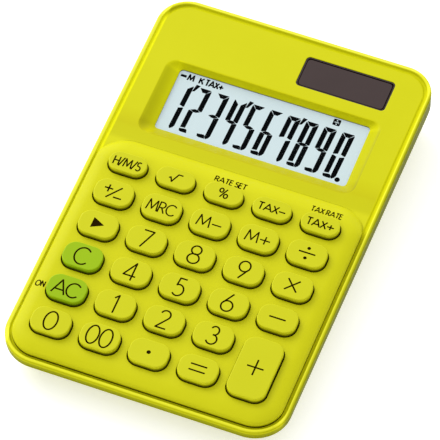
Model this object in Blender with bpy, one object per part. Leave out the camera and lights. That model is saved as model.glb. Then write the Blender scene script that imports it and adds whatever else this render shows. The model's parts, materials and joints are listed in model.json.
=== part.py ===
"""A small desk calculator: a wedge-shaped case, 29 sprung keys, a display, a solar cell and a button cell.

The case top, the keys and the board lie in the deck frame, which is tilted up towards the back. The base,
the screws and the battery are level with the table. Lengths in this file are in millimetres until MM turns
them into metres. +X is right, +Y is back and +Z is up. The origin is on the table, under the middle.
"""

import math

import bmesh
import bpy
from mathutils import Matrix, Vector

MM = 0.001

# Case outline, seen square on to the deck. x = 0 is the middle of the keys, y = 0 the front edge of the deck.
WIDTH = 79.8
LENGTH = 126.6
CASE_X = 0.5  # the case's middle stands a little to the right of the middle of the keys
CORNER_FRONT = 10.2
CORNER_BACK = 9.0
CORNER_STEPS = 5
TILT = math.radians(3.5)
FRONT_RIM_HEIGHT = 9.9  # rim top above the table, at the front edge
FRONT_EDGE_Y = -LENGTH / 2 - 0.1  # the back of the tilted case leans out a little, so this centres it

# Heights in the deck frame, from the top of the rim.
RIM_RADIUS = 0.9
RIM_INNER = [(1.45, -0.1), (1.7, -0.85), (2.05, -0.85), (2.4, -0.5)]  # inset and height: bead, groove, panel
PANEL_Z = -0.5
PANEL_UNDERSIDE_Z = -2.0
WALL = 1.6
PARTING_FRONT_Z = -2.2
PARTING_BACK_Z = -6.0
GAP = 0.3  # clearance between neighbours that touch on the real object

# Raised keypad.
PAD_INSET = 2.15
PAD_BACK_Y = 76.3
PAD_CORNER_FRONT = 8.05
PAD_CORNER_BACK = 8.5
PAD_Z = 1.9
PAD_TOP_CORNER = 3.5
PAD_EDGE_DROP = 1.0
PAD_SIDE_RUN = 4.15
PAD_FRONT_RUN = 4.6
PAD_BACK_DROP = 2.45
PAD_BACK_RUN = 6.3
PAD_STEPS = (0.0, 0.12, 0.3, 0.55, 1.0)
PAD_UNDERSIDE_Z = 0.4
PAD_FOOT_Z = -1.1  # the keypad's body reaches down into the panel
PAD_CAVITY_INSET = 3.6
PAD_CAVITY_BACK_Y = 72.5

# Keys.
COLUMN_PITCH = 13.8
ROW_PITCH = 11.055
FIRST_ROW_Y = 11.73
SMALL_ROW_Y = 66.2
KEY_SIZE = (10.85, 7.8)
SMALL_KEY_SIZE = (10.85, 6.2)
KEY_CORNER = 3.2
KEY_TOP_Z = 3.6
KEY_SHOULDER_Z = 3.15
KEY_SHOULDER_INSET = 0.45
KEY_HOLE_GAP = 0.3
FLANGE = 0.9
FLANGE_TOP_Z = 0.1
FLANGE_BOTTOM_Z = -0.5
KEY_CORNER_STEPS = 3

# Keypad mat and board.
MAT_TOP_Z = -1.8
MAT_BOTTOM_Z = -2.6
DOME_TOP_Z = -0.8
DOME_RADIUS = 3.2
DOME_TAPER = 0.55
DOME_SIDES = 10
MAT_HOLE_RADIUS = 2.1
MAT_CORNER = 3.0
BOARD_TOP_Z = -2.9
BOARD_BOTTOM_Z = -4.2
BOARD_HALF_WIDTH = 31.5
BOARD_FRONT_Y = 6.5
BOARD_BACK_Y = 78.4
BOARD_CORNER = 1.5
BOARD_SCREW_HOLE_RADIUS = 1.0
BOARD_POST_HOLE_RADIUS = 2.2
MAT_BACK_Y = 71.5
CHIP_Y = 52.0
CHIP_RINGS = [(2.4, -5.7), (4.2, -5.3), (5.2, BOARD_BOTTOM_Z - GAP)]  # radius and height

# Display. The window frame is tilted a little more than the deck.
LCD_TILT = math.radians(2.9)
LCD_CENTRE = (0.28, 94.8, -3.23)
LCD_SIZE = (55.5, 20.5)
LCD_CORNER = 1.1
BEZEL_HALF_WIDTH = 31.0
BEZEL_FRONT_Y = 80.55
BEZEL_BACK_Y = 105.95
BEZEL_CORNER = 3.2
BEZEL_LIP = 0.25
SKIRT = 1.3
SKIRT_TOP_Z = -1.2
# Layers of the display, in the window's plane: extra width, extra depth, shift back, bottom and top.
WINDOW_LAYER = (3.6, 3.2, 0.0, -1.1, -GAP)
FRONT_GLASS_LAYER = (2.4, 2.0, 0.0, -2.0, -1.4)
REAR_GLASS_LAYER = (2.4, 4.4, -1.2, -2.9, -2.3)
REFLECTOR_LAYER = (2.0, 1.6, 0.0, -3.4, -3.2)
HOLDER_LAYER = (6.8, 8.6, -1.0, -3.9, -GAP)
HOLDER_OPENING = (4.4, 6.2, -1.0, -6.0, 1.0)
LAYER_CORNER = 0.4
FLEX_PATH = [(82.0, -7.15), (81.4, -8.0), (79.6, -8.5), (77.6, -7.9), (76.2, -6.2), (74.4, -5.0),
             (71.0, -4.65)]
FLEX_HALF_WIDTH = 18.0
FLEX_THICKNESS = 0.2

# Solar cell.
SOLAR_X = (3.97, 29.85)
SOLAR_Y = (109.94, 120.25)
SOLAR_CORNER = 1.2
SOLAR_PANE_GAP = 0.15
SOLAR_PANE_Z = (-1.7, PANEL_Z - 0.1)
SOLAR_CELL_BORDER = 0.5
SOLAR_CELL_Z = (-3.3, PANEL_UNDERSIDE_Z - GAP)
LEAD_RADIUS = 0.4
# Each lead: its finish, then x at the cell, at the side and at the board.
LEADS = {"solar_lead_plus": ("red_wire", 24.5, 33.9, 26.0),
         "solar_lead_minus": ("black_wire", 27.5, 35.3, 29.0)}

# Base. These are level with the table.
BASE_Z = 0.8
FLOOR_TOP_Z = 2.3
BASE_HALF_WIDTH = 36.0
BASE_FRONT_Y = 7.0
BASE_BACK_Y = 122.0
BASE_CORNER = 8.0
BASE_CHAMFER = 0.7
SKIN = 1.5
SEAM_STEP = 0.15  # the base stands this far inside the case top
SEAM_BAND = 0.6
LIP_THICKNESS = 1.0
LIP_HEIGHT = 0.7
LIP_ROOT = -1.2
FOOT_RADIUS = 3.5
FOOT_HEIGHT = 0.9
FOOT_SPOTS = {"front_left": (-29.0, 13.0), "front_right": (29.0, 13.0), "back_left": (-29.0, 105.0),
              "back_right": (29.0, 105.0)}

# Screws.
SHANK_RADIUS = 0.7
BOSS_HOLE_RADIUS = 1.0
BOSS_RADIUS = 1.5
BOARD_BOSS_RADIUS = 1.6
POST_RADIUS = 2.8
SINK_TOP_Z = 2.6
CASE_SCREWS = {  # x and y on the deck, and the height of the post
    "front_left": (-1.5 * COLUMN_PITCH, 28.31, 5.0), "front_right": (1.5 * COLUMN_PITCH, 28.31, 5.0),
    "back_left": (CASE_X - 32.2, 116.0, 8.0), "back_right": (CASE_X + 32.2, 116.0, 8.0)}
CASE_SCREW_Z = 1.4
BOARD_SCREWS = {"left": (-1.5 * COLUMN_PITCH, 61.4), "right": (1.5 * COLUMN_PITCH, 61.4),
                "middle": (-0.5 * COLUMN_PITCH, 39.4)}
HEAD_RADIUS = 1.6
HEAD_HEIGHT = 0.9
BOARD_HEAD_RADIUS = 1.45
BOARD_HEAD_HEIGHT = 0.8
ROUND_SIDES = 16
SLOT_ARM = 0.8
SLOT_HALF = 0.16
SLOT_DEPTH = 0.25

# Battery, an LR54 button cell.
CELL_CENTRE = (-13.2, 98.0)
CELL_RADIUS = 5.8
CELL_HEIGHT = 3.05
CELL_BOTTOM_Z = 2.95
DOOR_X = (-20.5, -1.5)
DOOR_Y = (89.5, 106.5)
DOOR_THICKNESS = 1.5
DOOR_CORNER = 1.5
DOOR_GAP = 0.2
DOOR_Z = 0.05  # how far the battery cover stands inside the base's underside
DOOR_SCREW = (-4.3, 98.0)
DOOR_HOLE_RADIUS = 0.95
RIBS = 5
RIB_PITCH = 1.4
RIB_SIZE = (6.0, 0.5, 0.25)
BLOCK_BORDER = 2.2
BLOCK_TOP_Z = 4.8
RING_RADIUS = 7.4
RING_TOP_Z = 6.4
CELL_SIDES = 24
CONTACT_SLOT = (4.5, 5.2)
BRIDGE_HALF_WIDTH = 1.6
SPRING_HALF_WIDTH = 1.8
SPRING_THICKNESS = 0.3

KEYS = [  # name, column, row: row 0 is the front row, row 5 is the row of small keys
    ("key_hms", 0, 5), ("key_root", 1, 5), ("key_percent", 2, 5), ("key_tax_minus", 3, 5),
    ("key_tax_plus", 4, 5),
    ("key_sign", 0, 4), ("key_mrc", 1, 4), ("key_m_minus", 2, 4), ("key_m_plus", 3, 4), ("key_divide", 4, 4),
    ("key_shift", 0, 3), ("key_7", 1, 3), ("key_8", 2, 3), ("key_9", 3, 3), ("key_multiply", 4, 3),
    ("key_c", 0, 2), ("key_4", 1, 2), ("key_5", 2, 2), ("key_6", 3, 2), ("key_minus", 4, 2),
    ("key_ac", 0, 1), ("key_1", 1, 1), ("key_2", 2, 1), ("key_3", 3, 1),
    ("key_0", 0, 0), ("key_00", 1, 0), ("key_point", 2, 0), ("key_equals", 3, 0), ("key_plus", 4, 0),
]
GREEN_KEYS = ("key_c", "key_ac")
SMALL_ROW = 5
TALL_KEY = "key_plus"

COLOURS = {  # colour, roughness, metallic
    "lime_plastic": ((0.66, 0.66, 0.02, 1), 0.42, 0.0),
    "green_plastic": ((0.35, 0.56, 0.02, 1), 0.42, 0.0),
    "clear_plastic": ((0.80, 0.88, 0.88, 1), 0.10, 0.0),
    "dark_glass": ((0.075, 0.055, 0.055, 1), 0.12, 0.0),
    "lcd_glass": ((0.62, 0.74, 0.74, 1), 0.20, 0.0),
    "foil": ((0.70, 0.72, 0.72, 1), 0.35, 1.0),
    "white_plastic": ((0.80, 0.80, 0.78, 1), 0.50, 0.0),
    "silicone": ((0.55, 0.57, 0.58, 1), 0.70, 0.0),
    "board": ((0.05, 0.22, 0.08, 1), 0.45, 0.0),
    "epoxy": ((0.02, 0.02, 0.02, 1), 0.30, 0.0),
    "flex": ((0.55, 0.30, 0.08, 1), 0.40, 0.0),
    "steel": ((0.62, 0.62, 0.60, 1), 0.30, 1.0),
    "plated_steel": ((0.75, 0.74, 0.70, 1), 0.25, 1.0),
    "rubber": ((0.03, 0.03, 0.03, 1), 0.80, 0.0),
    "red_wire": ((0.50, 0.03, 0.02, 1), 0.50, 0.0),
    "black_wire": ((0.02, 0.02, 0.02, 1), 0.50, 0.0),
}


# ---------------------------------------------------------------- outlines

def rounded(x0, x1, y0, y1, front, back=None, steps=CORNER_STEPS):
    """A rectangle with round corners, anticlockwise, as a list of (x, y)."""
    back = front if back is None else back
    corners = [(x1 - front, y0 + front, front, -90), (x1 - back, y1 - back, back, 0),
               (x0 + back, y1 - back, back, 90), (x0 + front, y0 + front, front, 180)]
    points = []
    for cx, cy, radius, start in corners:
        for k in range(steps + 1):
            angle = math.radians(start + 90 * k / steps)
            points.append((cx + radius * math.cos(angle), cy + radius * math.sin(angle)))
    return points


def circle(x, y, radius, sides=ROUND_SIDES):
    return [(x + radius * math.cos(2 * math.pi * k / sides), y + radius * math.sin(2 * math.pi * k / sides))
            for k in range(sides)]


def case_outline(inset):
    """The case's outline, moved inwards."""
    half = WIDTH / 2 - inset
    return rounded(CASE_X - half, CASE_X + half, inset, LENGTH - inset, CORNER_FRONT - inset,
                   CORNER_BACK - inset)


def at(outline, z):
    """An outline at one height, or at a height that depends on x and y."""
    height = z if callable(z) else lambda x, y: z
    return [(x, y, height(x, y)) for x, y in outline]


def parting(offset=0.0):
    """The seam between the two case halves, which runs lower towards the back of the deck."""
    slope = (PARTING_BACK_Z - PARTING_FRONT_Z) / LENGTH
    return lambda x, y: PARTING_FRONT_Z + slope * y + offset


# ---------------------------------------------------------------- objects

def clear_scene():
    for item in list(bpy.data.objects):
        bpy.data.objects.remove(item, do_unlink=True)


def material(name):
    made = bpy.data.materials.get(name)
    if made is None:
        colour, roughness, metallic = COLOURS[name]
        made = bpy.data.materials.new(name)
        made.use_nodes = True
        shader = made.node_tree.nodes["Principled BSDF"]
        shader.inputs["Base Color"].default_value = colour
        shader.inputs["Roughness"].default_value = roughness
        shader.inputs["Metallic"].default_value = metallic
    return made


def add_object(name, mesh, finish=None, parent=None):
    item = bpy.data.objects.new(name, mesh)
    bpy.context.scene.collection.objects.link(item)
    item.parent = parent
    if finish:
        mesh.materials.append(material(finish))
    return item


def empty(name, location, tilt, parent=None):
    item = bpy.data.objects.new(name, None)
    bpy.context.scene.collection.objects.link(item)
    item.parent = parent
    item.location = [v * MM for v in location]
    item.rotation_euler = (tilt, 0, 0)
    return item


def loft_into(work, rings):
    """One closed body through rings of points, lowest first, with flat ends."""
    rows = [[work.verts.new([v * MM for v in point]) for point in ring] for ring in rings]
    count = len(rows[0])
    for lower, upper in zip(rows, rows[1:]):
        for k in range(count):
            n = (k + 1) % count
            work.faces.new((lower[k], lower[n], upper[n], upper[k]))
    work.faces.new(list(reversed(rows[0])))
    work.faces.new(rows[-1])


def solid(name, lofts, finish=None, parent=None):
    """An object made of one or more lofted bodies."""
    work = bmesh.new()
    for rings in lofts:
        loft_into(work, rings)
    bmesh.ops.triangulate(work, faces=[f for f in work.faces if len(f.verts) > 4])
    mesh = bpy.data.meshes.new(name)
    work.to_mesh(mesh)
    work.free()
    return add_object(name, mesh, finish, parent)


def prism(outline, z0, z1):
    return [at(outline, z0), at(outline, z1)]


def helper(name, lofts, parent=None):
    """A shape that only cuts or joins another."""
    item = solid(name, lofts, None, parent)
    item.hide_render = True
    item.display_type = "WIRE"
    return item


def combine(item, other, operation):
    modifier = item.modifiers.new(other.name, "BOOLEAN")
    modifier.operation = operation
    modifier.object = other
    modifier.solver = "EXACT"


def cut(item, name, lofts, parent=None):
    combine(item, helper(name, lofts, parent), "DIFFERENCE")


def join(item, name, lofts, parent=None):
    combine(item, helper(name, lofts, parent), "UNION")


def round_shading(item):
    item.data.shade_smooth()
    item.data.set_sharp_from_angle(angle=math.radians(35))


# ---------------------------------------------------------------- key layout

def key_centre(column, row):
    x = (column - 2) * COLUMN_PITCH
    y = SMALL_ROW_Y if row == SMALL_ROW else FIRST_ROW_Y + row * ROW_PITCH
    return x, y


def key_box(name, column, row):
    """Centre and size of a key: the tall one spans the two front rows."""
    x, y = key_centre(column, row)
    width, depth = SMALL_KEY_SIZE if row == SMALL_ROW else KEY_SIZE
    if name == TALL_KEY:
        y += ROW_PITCH / 2
        depth += ROW_PITCH
    return x, y, width, depth


def key_outline(box, grow, steps=KEY_CORNER_STEPS):
    """A key's outline about its own centre, made larger all round by grow."""
    half_x, half_y = box[2] / 2 + grow, box[3] / 2 + grow
    corner = min(KEY_CORNER, box[3] / 2 - 0.05) + grow
    return rounded(-half_x, half_x, -half_y, half_y, corner, steps=steps)


def moved(outline, x, y):
    return [(px + x, py + y) for px, py in outline]


# ---------------------------------------------------------------- pieces

def pad_outline(t):
    """The raised keypad's outline: t runs from 0 at its foot to 1 where its top becomes flat."""
    half = WIDTH / 2 - PAD_INSET - PAD_SIDE_RUN * t
    front = PAD_CORNER_FRONT + (PAD_TOP_CORNER - PAD_CORNER_FRONT) * t
    back = PAD_CORNER_BACK + (PAD_TOP_CORNER - PAD_CORNER_BACK) * t
    return rounded(CASE_X - half, CASE_X + half, PAD_INSET + PAD_FRONT_RUN * t, PAD_BACK_Y - PAD_BACK_RUN * t,
                   front, back)


def pad_ring(t):
    """One ring of the keypad's surface, which falls softly to its sides and down to the panel at its back."""
    ring = []
    corner_angles = [-90, 0, 90, 180]
    per_corner = CORNER_STEPS + 1
    for k, (x, y) in enumerate(pad_outline(t)):
        angle = math.radians(corner_angles[k // per_corner] + 90 * (k % per_corner) / CORNER_STEPS)
        facing_back = max(0.0, math.sin(angle))
        share = facing_back * facing_back * (3 - 2 * facing_back)
        drop = PAD_EDGE_DROP + (PAD_BACK_DROP - PAD_EDGE_DROP) * share
        ring.append((x, y, PAD_Z - drop * (1 - t) ** 2))
    return ring


def make_upper_case(deck):
    rim = [at(case_outline(0.0), parting()), at(case_outline(0.0), -RIM_RADIUS),
           at(case_outline(0.3 * RIM_RADIUS), -0.3 * RIM_RADIUS), at(case_outline(RIM_RADIUS), 0.0)]
    rim += [at(case_outline(inset), z) for inset, z in RIM_INNER]
    case = solid("upper_case", [rim], "lime_plastic", deck)
    pad_rings = [at(pad_outline(0.0), PAD_FOOT_Z)] + [pad_ring(t) for t in PAD_STEPS]
    join(case, "pad_body", [pad_rings], deck)
    skirt = rounded(-BEZEL_HALF_WIDTH - SKIRT, BEZEL_HALF_WIDTH + SKIRT, BEZEL_FRONT_Y - SKIRT,
                    BEZEL_BACK_Y + SKIRT, BEZEL_CORNER)
    cavity = case_outline(WALL)
    hollow_half = WIDTH / 2 - PAD_CAVITY_INSET
    hollow = rounded(CASE_X - hollow_half, CASE_X + hollow_half, PAD_CAVITY_INSET, PAD_CAVITY_BACK_Y,
                     CORNER_FRONT - PAD_CAVITY_INSET)
    cut(case, "case_cavity", [prism(cavity, -20.0, PANEL_UNDERSIDE_Z)], deck)
    cut(case, "pad_cavity", [prism(hollow, PANEL_UNDERSIDE_Z - 1.0, PAD_UNDERSIDE_Z)], deck)
    join(case, "bezel_skirt", [[at(skirt, lcd_floor), at(skirt, SKIRT_TOP_Z)]], deck)
    cut(case, "bezel_funnel", [bezel_funnel()], deck)
    window = rounded(*SOLAR_X, *SOLAR_Y, SOLAR_CORNER, steps=3)
    cut(case, "solar_hole", [prism(window, -4.0, 1.0)], deck)
    bosses = []
    holes = []
    for x, y in BOARD_SCREWS.values():
        bosses.append(prism(circle(x, y, BOARD_BOSS_RADIUS), BOARD_TOP_Z + GAP, PAD_UNDERSIDE_Z + 0.5))
        holes.append(prism(circle(x, y, BOSS_HOLE_RADIUS), -4.0, PAD_UNDERSIDE_Z - 0.1))
    join(case, "board_bosses", bosses, deck)
    cut(case, "board_boss_holes", holes, deck)
    bosses = []
    holes = []
    for x, y, post_top in CASE_SCREWS.values():
        top = deck_underside_level(y)
        bosses.append(prism(circle(*level(x, y), BOSS_RADIUS), post_top + GAP, top + 0.6))
        holes.append(prism(circle(*level(x, y), BOSS_HOLE_RADIUS), 0.0, top - 0.1))
    join(case, "case_bosses", bosses)
    cut(case, "case_boss_holes", holes)
    openings = []
    for name, column, row in KEYS:
        box = key_box(name, column, row)
        openings.append(prism(moved(key_outline(box, KEY_HOLE_GAP), *box[:2]), -1.0, PAD_Z + 1.0))
    cut(case, "key_openings", openings, deck)


def level(deck_x, deck_y):
    """World x and y of a point at rim height on the deck."""
    return deck_x - CASE_X, deck_y * math.cos(TILT) + FRONT_EDGE_Y


def deck_underside_level(deck_y):
    """World height of the case top's underside above a screw."""
    depth = PAD_UNDERSIDE_Z if deck_y < PAD_CAVITY_BACK_Y else PANEL_UNDERSIDE_Z
    return FRONT_RIM_HEIGHT + deck_y * math.sin(TILT) + depth


def lcd_floor(x, y):
    """Height of the display window's plane in the deck frame."""
    return LCD_CENTRE[2] + (y - LCD_CENTRE[1]) * math.tan(LCD_TILT)


def bezel_funnel():
    """The sloped opening over the display, from below the skirt to above the panel."""
    half_x, half_y = LCD_SIZE[0] / 2, LCD_SIZE[1] / 2
    window = rounded(LCD_CENTRE[0] - half_x, LCD_CENTRE[0] + half_x, LCD_CENTRE[1] - half_y,
                     LCD_CENTRE[1] + half_y, LCD_CORNER)
    mouth = rounded(-BEZEL_HALF_WIDTH, BEZEL_HALF_WIDTH, BEZEL_FRONT_Y, BEZEL_BACK_Y, BEZEL_CORNER)
    return [at(window, -8.0), at(window, lambda x, y: lcd_floor(x, y) + BEZEL_LIP), at(mouth, PANEL_Z),
            at(mouth, 1.5)]


def make_keys(deck):
    for name, column, row in KEYS:
        box = key_box(name, column, row)
        finish = "green_plastic" if name in GREEN_KEYS else "lime_plastic"
        rings = [at(key_outline(box, FLANGE), FLANGE_BOTTOM_Z), at(key_outline(box, FLANGE), FLANGE_TOP_Z),
                 at(key_outline(box, 0.0), FLANGE_TOP_Z), at(key_outline(box, -0.1), KEY_SHOULDER_Z),
                 at(key_outline(box, -KEY_SHOULDER_INSET - 0.1), KEY_TOP_Z)]
        key = solid(name, [rings], finish, deck)
        key.location = (box[0] * MM, box[1] * MM, 0)
        round_shading(key)


def make_keypad_mat(deck):
    half = BOARD_HALF_WIDTH
    sheet = rounded(-half, half, BOARD_FRONT_Y, MAT_BACK_Y, MAT_CORNER, steps=3)
    mat = solid("keypad_mat", [prism(sheet, MAT_BOTTOM_Z, MAT_TOP_Z)], "silicone", deck)
    domes = []
    for name, column, row in KEYS:
        x, y, _, depth = key_box(name, column, row)
        base = min(DOME_RADIUS, depth / 2 - GAP)
        domes.append([at(circle(x, y, base, DOME_SIDES), MAT_TOP_Z - 0.2),
                      at(circle(x, y, DOME_TAPER * base, DOME_SIDES), DOME_TOP_Z)])
    join(mat, "domes", domes, deck)
    spots = list(BOARD_SCREWS.values()) + [(x, y) for x, y, _ in CASE_SCREWS.values() if y < MAT_BACK_Y]
    cut(mat, "mat_holes", [prism(circle(x, y, MAT_HOLE_RADIUS), -5.0, 0.0) for x, y in spots], deck)


def make_board(deck):
    half = BOARD_HALF_WIDTH
    sheet = rounded(-half, half, BOARD_FRONT_Y, BOARD_BACK_Y, BOARD_CORNER, steps=2)
    board = solid("main_board", [prism(sheet, BOARD_BOTTOM_Z, BOARD_TOP_Z)], "board", deck)
    holes = [prism(circle(x, y, BOARD_SCREW_HOLE_RADIUS, 12), -6.0, 0.0) for x, y in BOARD_SCREWS.values()]
    holes += [prism(circle(x, y, BOARD_POST_HOLE_RADIUS), -6.0, 0.0)
              for x, y, _ in CASE_SCREWS.values() if y < BOARD_BACK_Y]
    cut(board, "board_holes", holes, deck)
    blob = [at(circle(0, CHIP_Y, radius), z) for radius, z in CHIP_RINGS]
    round_shading(solid("chip_cover", [blob], "epoxy", deck))
    for name, (x, y) in BOARD_SCREWS.items():
        head = circle(x, y, BOARD_HEAD_RADIUS)
        shank = circle(x, y, SHANK_RADIUS)
        head_top = BOARD_BOTTOM_Z - GAP
        rings = [at(head, head_top - BOARD_HEAD_HEIGHT), at(head, head_top), at(shank, head_top),
                 at(shank, PAD_UNDERSIDE_Z - 0.6)]
        round_shading(solid("board_screw_" + name, [rings], "steel", deck))


def lcd_layer(layer, corner=LAYER_CORNER):
    """One layer of the display, a little larger than what shows through the opening."""
    extra_x, extra_y, shift, z0, z1 = layer
    half_x, half_y = (LCD_SIZE[0] + extra_x) / 2, (LCD_SIZE[1] + extra_y) / 2
    return prism(rounded(-half_x, half_x, shift - half_y, shift + half_y, corner, steps=2), z0, z1)


def make_display(deck):
    frame = empty("lcd_frame", LCD_CENTRE, LCD_TILT, deck)
    solid("display_window", [lcd_layer(WINDOW_LAYER, LCD_CORNER)], "clear_plastic", frame)
    solid("lcd_front_glass", [lcd_layer(FRONT_GLASS_LAYER)], "lcd_glass", frame)
    solid("lcd_rear_glass", [lcd_layer(REAR_GLASS_LAYER)], "lcd_glass", frame)
    solid("lcd_reflector", [lcd_layer(REFLECTOR_LAYER)], "foil", frame)
    holder = solid("lcd_holder", [lcd_layer(HOLDER_LAYER)], "white_plastic", frame)
    cut(holder, "holder_opening", [lcd_layer(HOLDER_OPENING)], frame)


def strip(path, half_width, thickness):
    """A flat ribbon along a path of (y, z): its side-view outline, at one edge and at the other."""
    lower = []
    upper = []
    for k, (y, z) in enumerate(path):
        before, after = path[max(k - 1, 0)], path[min(k + 1, len(path) - 1)]
        run = Vector((after[0] - before[0], after[1] - before[1])).normalized()
        side = Vector((-run.y, run.x)) * thickness / 2
        lower.append((y - side.x, z - side.y))
        upper.append((y + side.x, z + side.y))
    outline = lower + upper[::-1]
    area = sum(a[0] * b[1] - b[0] * a[1] for a, b in zip(outline, outline[1:] + outline[:1]))
    if area < 0:
        outline.reverse()
    return [[(sign * half_width, y, z) for y, z in outline] for sign in (-1, 1)]


def make_flex(deck):
    solid("lcd_flex_cable", [strip(FLEX_PATH, FLEX_HALF_WIDTH, FLEX_THICKNESS)], "flex", deck)


def solar_outline(grow, corner, steps):
    return rounded(SOLAR_X[0] - grow, SOLAR_X[1] + grow, SOLAR_Y[0] - grow, SOLAR_Y[1] + grow, corner,
                   steps=steps)


def make_solar(deck):
    pane = solar_outline(-SOLAR_PANE_GAP, SOLAR_CORNER - SOLAR_PANE_GAP, 3)
    solid("solar_window", [prism(pane, *SOLAR_PANE_Z)], "dark_glass", deck)
    cell = solar_outline(SOLAR_CELL_BORDER, LAYER_CORNER, 1)
    solid("solar_cell", [prism(cell, *SOLAR_CELL_Z)], "dark_glass", deck)


def tube(name, points, radius, finish, parent):
    """A wire along a smooth curve through its own points."""
    curve = bpy.data.curves.new(name, "CURVE")
    curve.dimensions = "3D"
    curve.bevel_depth = radius * MM
    curve.bevel_resolution = 1
    curve.use_fill_caps = True
    smooth = []
    padded = [points[0]] + points + [points[-1]]
    steps = 3
    for p0, p1, p2, p3 in zip(padded, padded[1:], padded[2:], padded[3:]):
        for k in range(steps):
            t = k / steps
            smooth.append([0.5 * (2 * b + (c - a) * t + (2 * a - 5 * b + 4 * c - d) * t * t
                                  + (3 * b - a - 3 * c + d) * t ** 3) for a, b, c, d in zip(p0, p1, p2, p3)])
    smooth.append(points[-1])
    spline = curve.splines.new("POLY")
    spline.points.add(len(smooth) - 1)
    for point, place in zip(spline.points, smooth):
        point.co = [v * MM for v in place] + [1]
    curve.materials.append(material(finish))
    item = bpy.data.objects.new(name, curve)
    bpy.context.scene.collection.objects.link(item)
    item.parent = parent


def make_leads(deck):
    """Two wires from the solar cell to the underside of the board, past the right of the display."""
    for name, (finish, start_x, side, end_x) in LEADS.items():
        points = [(start_x, 113.4, -4.1), (start_x + 1.5, 112.9, -4.9), (side - 2.5, 111.2, -5.8),
                  (side, 107.5, -6.6), (side, 90.0, -6.9), (side - 0.3, 79.5, -6.4),
                  (end_x + 4.0, 76.0, -5.8), (end_x, 73.0, -4.95)]
        tube(name, points, LEAD_RADIUS, finish, deck)


# ---------------------------------------------------------------- base, level with the table

def deck_to_level(deck):
    """Function that turns a deck point into a level one, in millimetres."""
    matrix = Matrix.Translation(Vector(deck.location) / MM) @ Matrix.Rotation(TILT, 4, "X")
    return lambda x, y, z: tuple(matrix @ Vector((x, y, z)))


def base_outline(inset):
    return rounded(-BASE_HALF_WIDTH + inset, BASE_HALF_WIDTH - inset, BASE_FRONT_Y + inset - LENGTH / 2,
                   BASE_BACK_Y - inset - LENGTH / 2, BASE_CORNER - inset)


def seam_ring(place, inset, offset):
    return [place(x, y, z) for x, y, z in at(case_outline(inset), parting(offset))]


def base_spot(x, y, radius, sides=ROUND_SIDES):
    """A circle on the base, whose y is counted from the front edge."""
    return circle(x, y - LENGTH / 2, radius, sides)


def door_outline(grow, corner):
    front = DOOR_Y[0] - LENGTH / 2
    back = DOOR_Y[1] - LENGTH / 2
    return rounded(DOOR_X[0] - grow, DOOR_X[1] + grow, front - grow, back + grow, corner, steps=2)


def lip_top(x, y):
    """The seam lip stands above the seam, but stays clear of the panel."""
    return min(parting(LIP_HEIGHT)(x, y), PANEL_UNDERSIDE_Z - GAP)


def make_lower_case(deck):
    place = deck_to_level(deck)
    outside = [at(base_outline(BASE_CHAMFER), BASE_Z), at(base_outline(0.0), BASE_Z + BASE_CHAMFER),
               seam_ring(place, SEAM_STEP, -GAP - SEAM_BAND), seam_ring(place, SEAM_STEP, -GAP)]
    case = solid("lower_case", [outside], "lime_plastic")
    inside = [at(base_outline(SKIN), FLOOR_TOP_Z), seam_ring(place, SEAM_STEP + SKIN, -GAP - SEAM_BAND),
              seam_ring(place, SEAM_STEP + SKIN, 3.0)]
    cut(case, "lower_cavity", [inside])
    outer = case_outline(WALL + GAP)
    inner = case_outline(WALL + GAP + LIP_THICKNESS)
    lip = [[place(*p) for p in at(outer, parting(LIP_ROOT))], [place(*p) for p in at(outer, lip_top)]]
    join(case, "seam_lip", [lip])
    bore = [[place(*p) for p in at(inner, parting(-2.5))], [place(*p) for p in at(inner, 3.0)]]
    cut(case, "seam_lip_bore", [bore])
    block = door_outline(BLOCK_BORDER, 2.0)
    join(case, "battery_block", [prism(block, BASE_Z + 0.4, BLOCK_TOP_Z)])
    join(case, "battery_ring", [prism(base_spot(*CELL_CENTRE, RING_RADIUS, CELL_SIDES), 3.0, RING_TOP_Z)])
    posts = []
    bores = []
    sinks = []
    for x, y, post_top in CASE_SCREWS.values():
        posts.append(prism(circle(*level(x, y), POST_RADIUS), BASE_Z + 0.4, post_top))
        bores.append(prism(circle(*level(x, y), BOSS_HOLE_RADIUS), 0.0, 12.0))
        sinks.append(prism(circle(*level(x, y), HEAD_RADIUS + 0.25), 0.0, SINK_TOP_Z))
    join(case, "screw_posts", posts)
    cut(case, "screw_bores", bores)
    cut(case, "screw_sinks", sinks)
    door = door_outline(DOOR_GAP, DOOR_CORNER + DOOR_GAP)
    cut(case, "door_pocket", [prism(door, 0.0, BASE_Z + DOOR_Z + DOOR_THICKNESS + GAP)])
    cut(case, "cell_bore", [prism(base_spot(*CELL_CENTRE, CELL_RADIUS + GAP, CELL_SIDES), 0.5, 9.0)])
    cut(case, "door_screw_bore", [prism(base_spot(*DOOR_SCREW, DOOR_HOLE_RADIUS, 12), 0.5, 9.0)])
    cell_x, cell_y = CELL_CENTRE[0], CELL_CENTRE[1] - LENGTH / 2
    slot = rounded(cell_x - 2 * CONTACT_SLOT[0], cell_x - CONTACT_SLOT[0], cell_y - CONTACT_SLOT[1] / 2,
                   cell_y + CONTACT_SLOT[1] / 2, 0.2, steps=1)
    cut(case, "contact_slot", [prism(slot, BLOCK_TOP_Z - 0.2, 9.0)])
    pockets = [prism(base_spot(x, y, FOOT_RADIUS + 0.2), 0.0, FOOT_HEIGHT + GAP)
               for x, y in FOOT_SPOTS.values()]
    cut(case, "foot_pockets", pockets)


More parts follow.
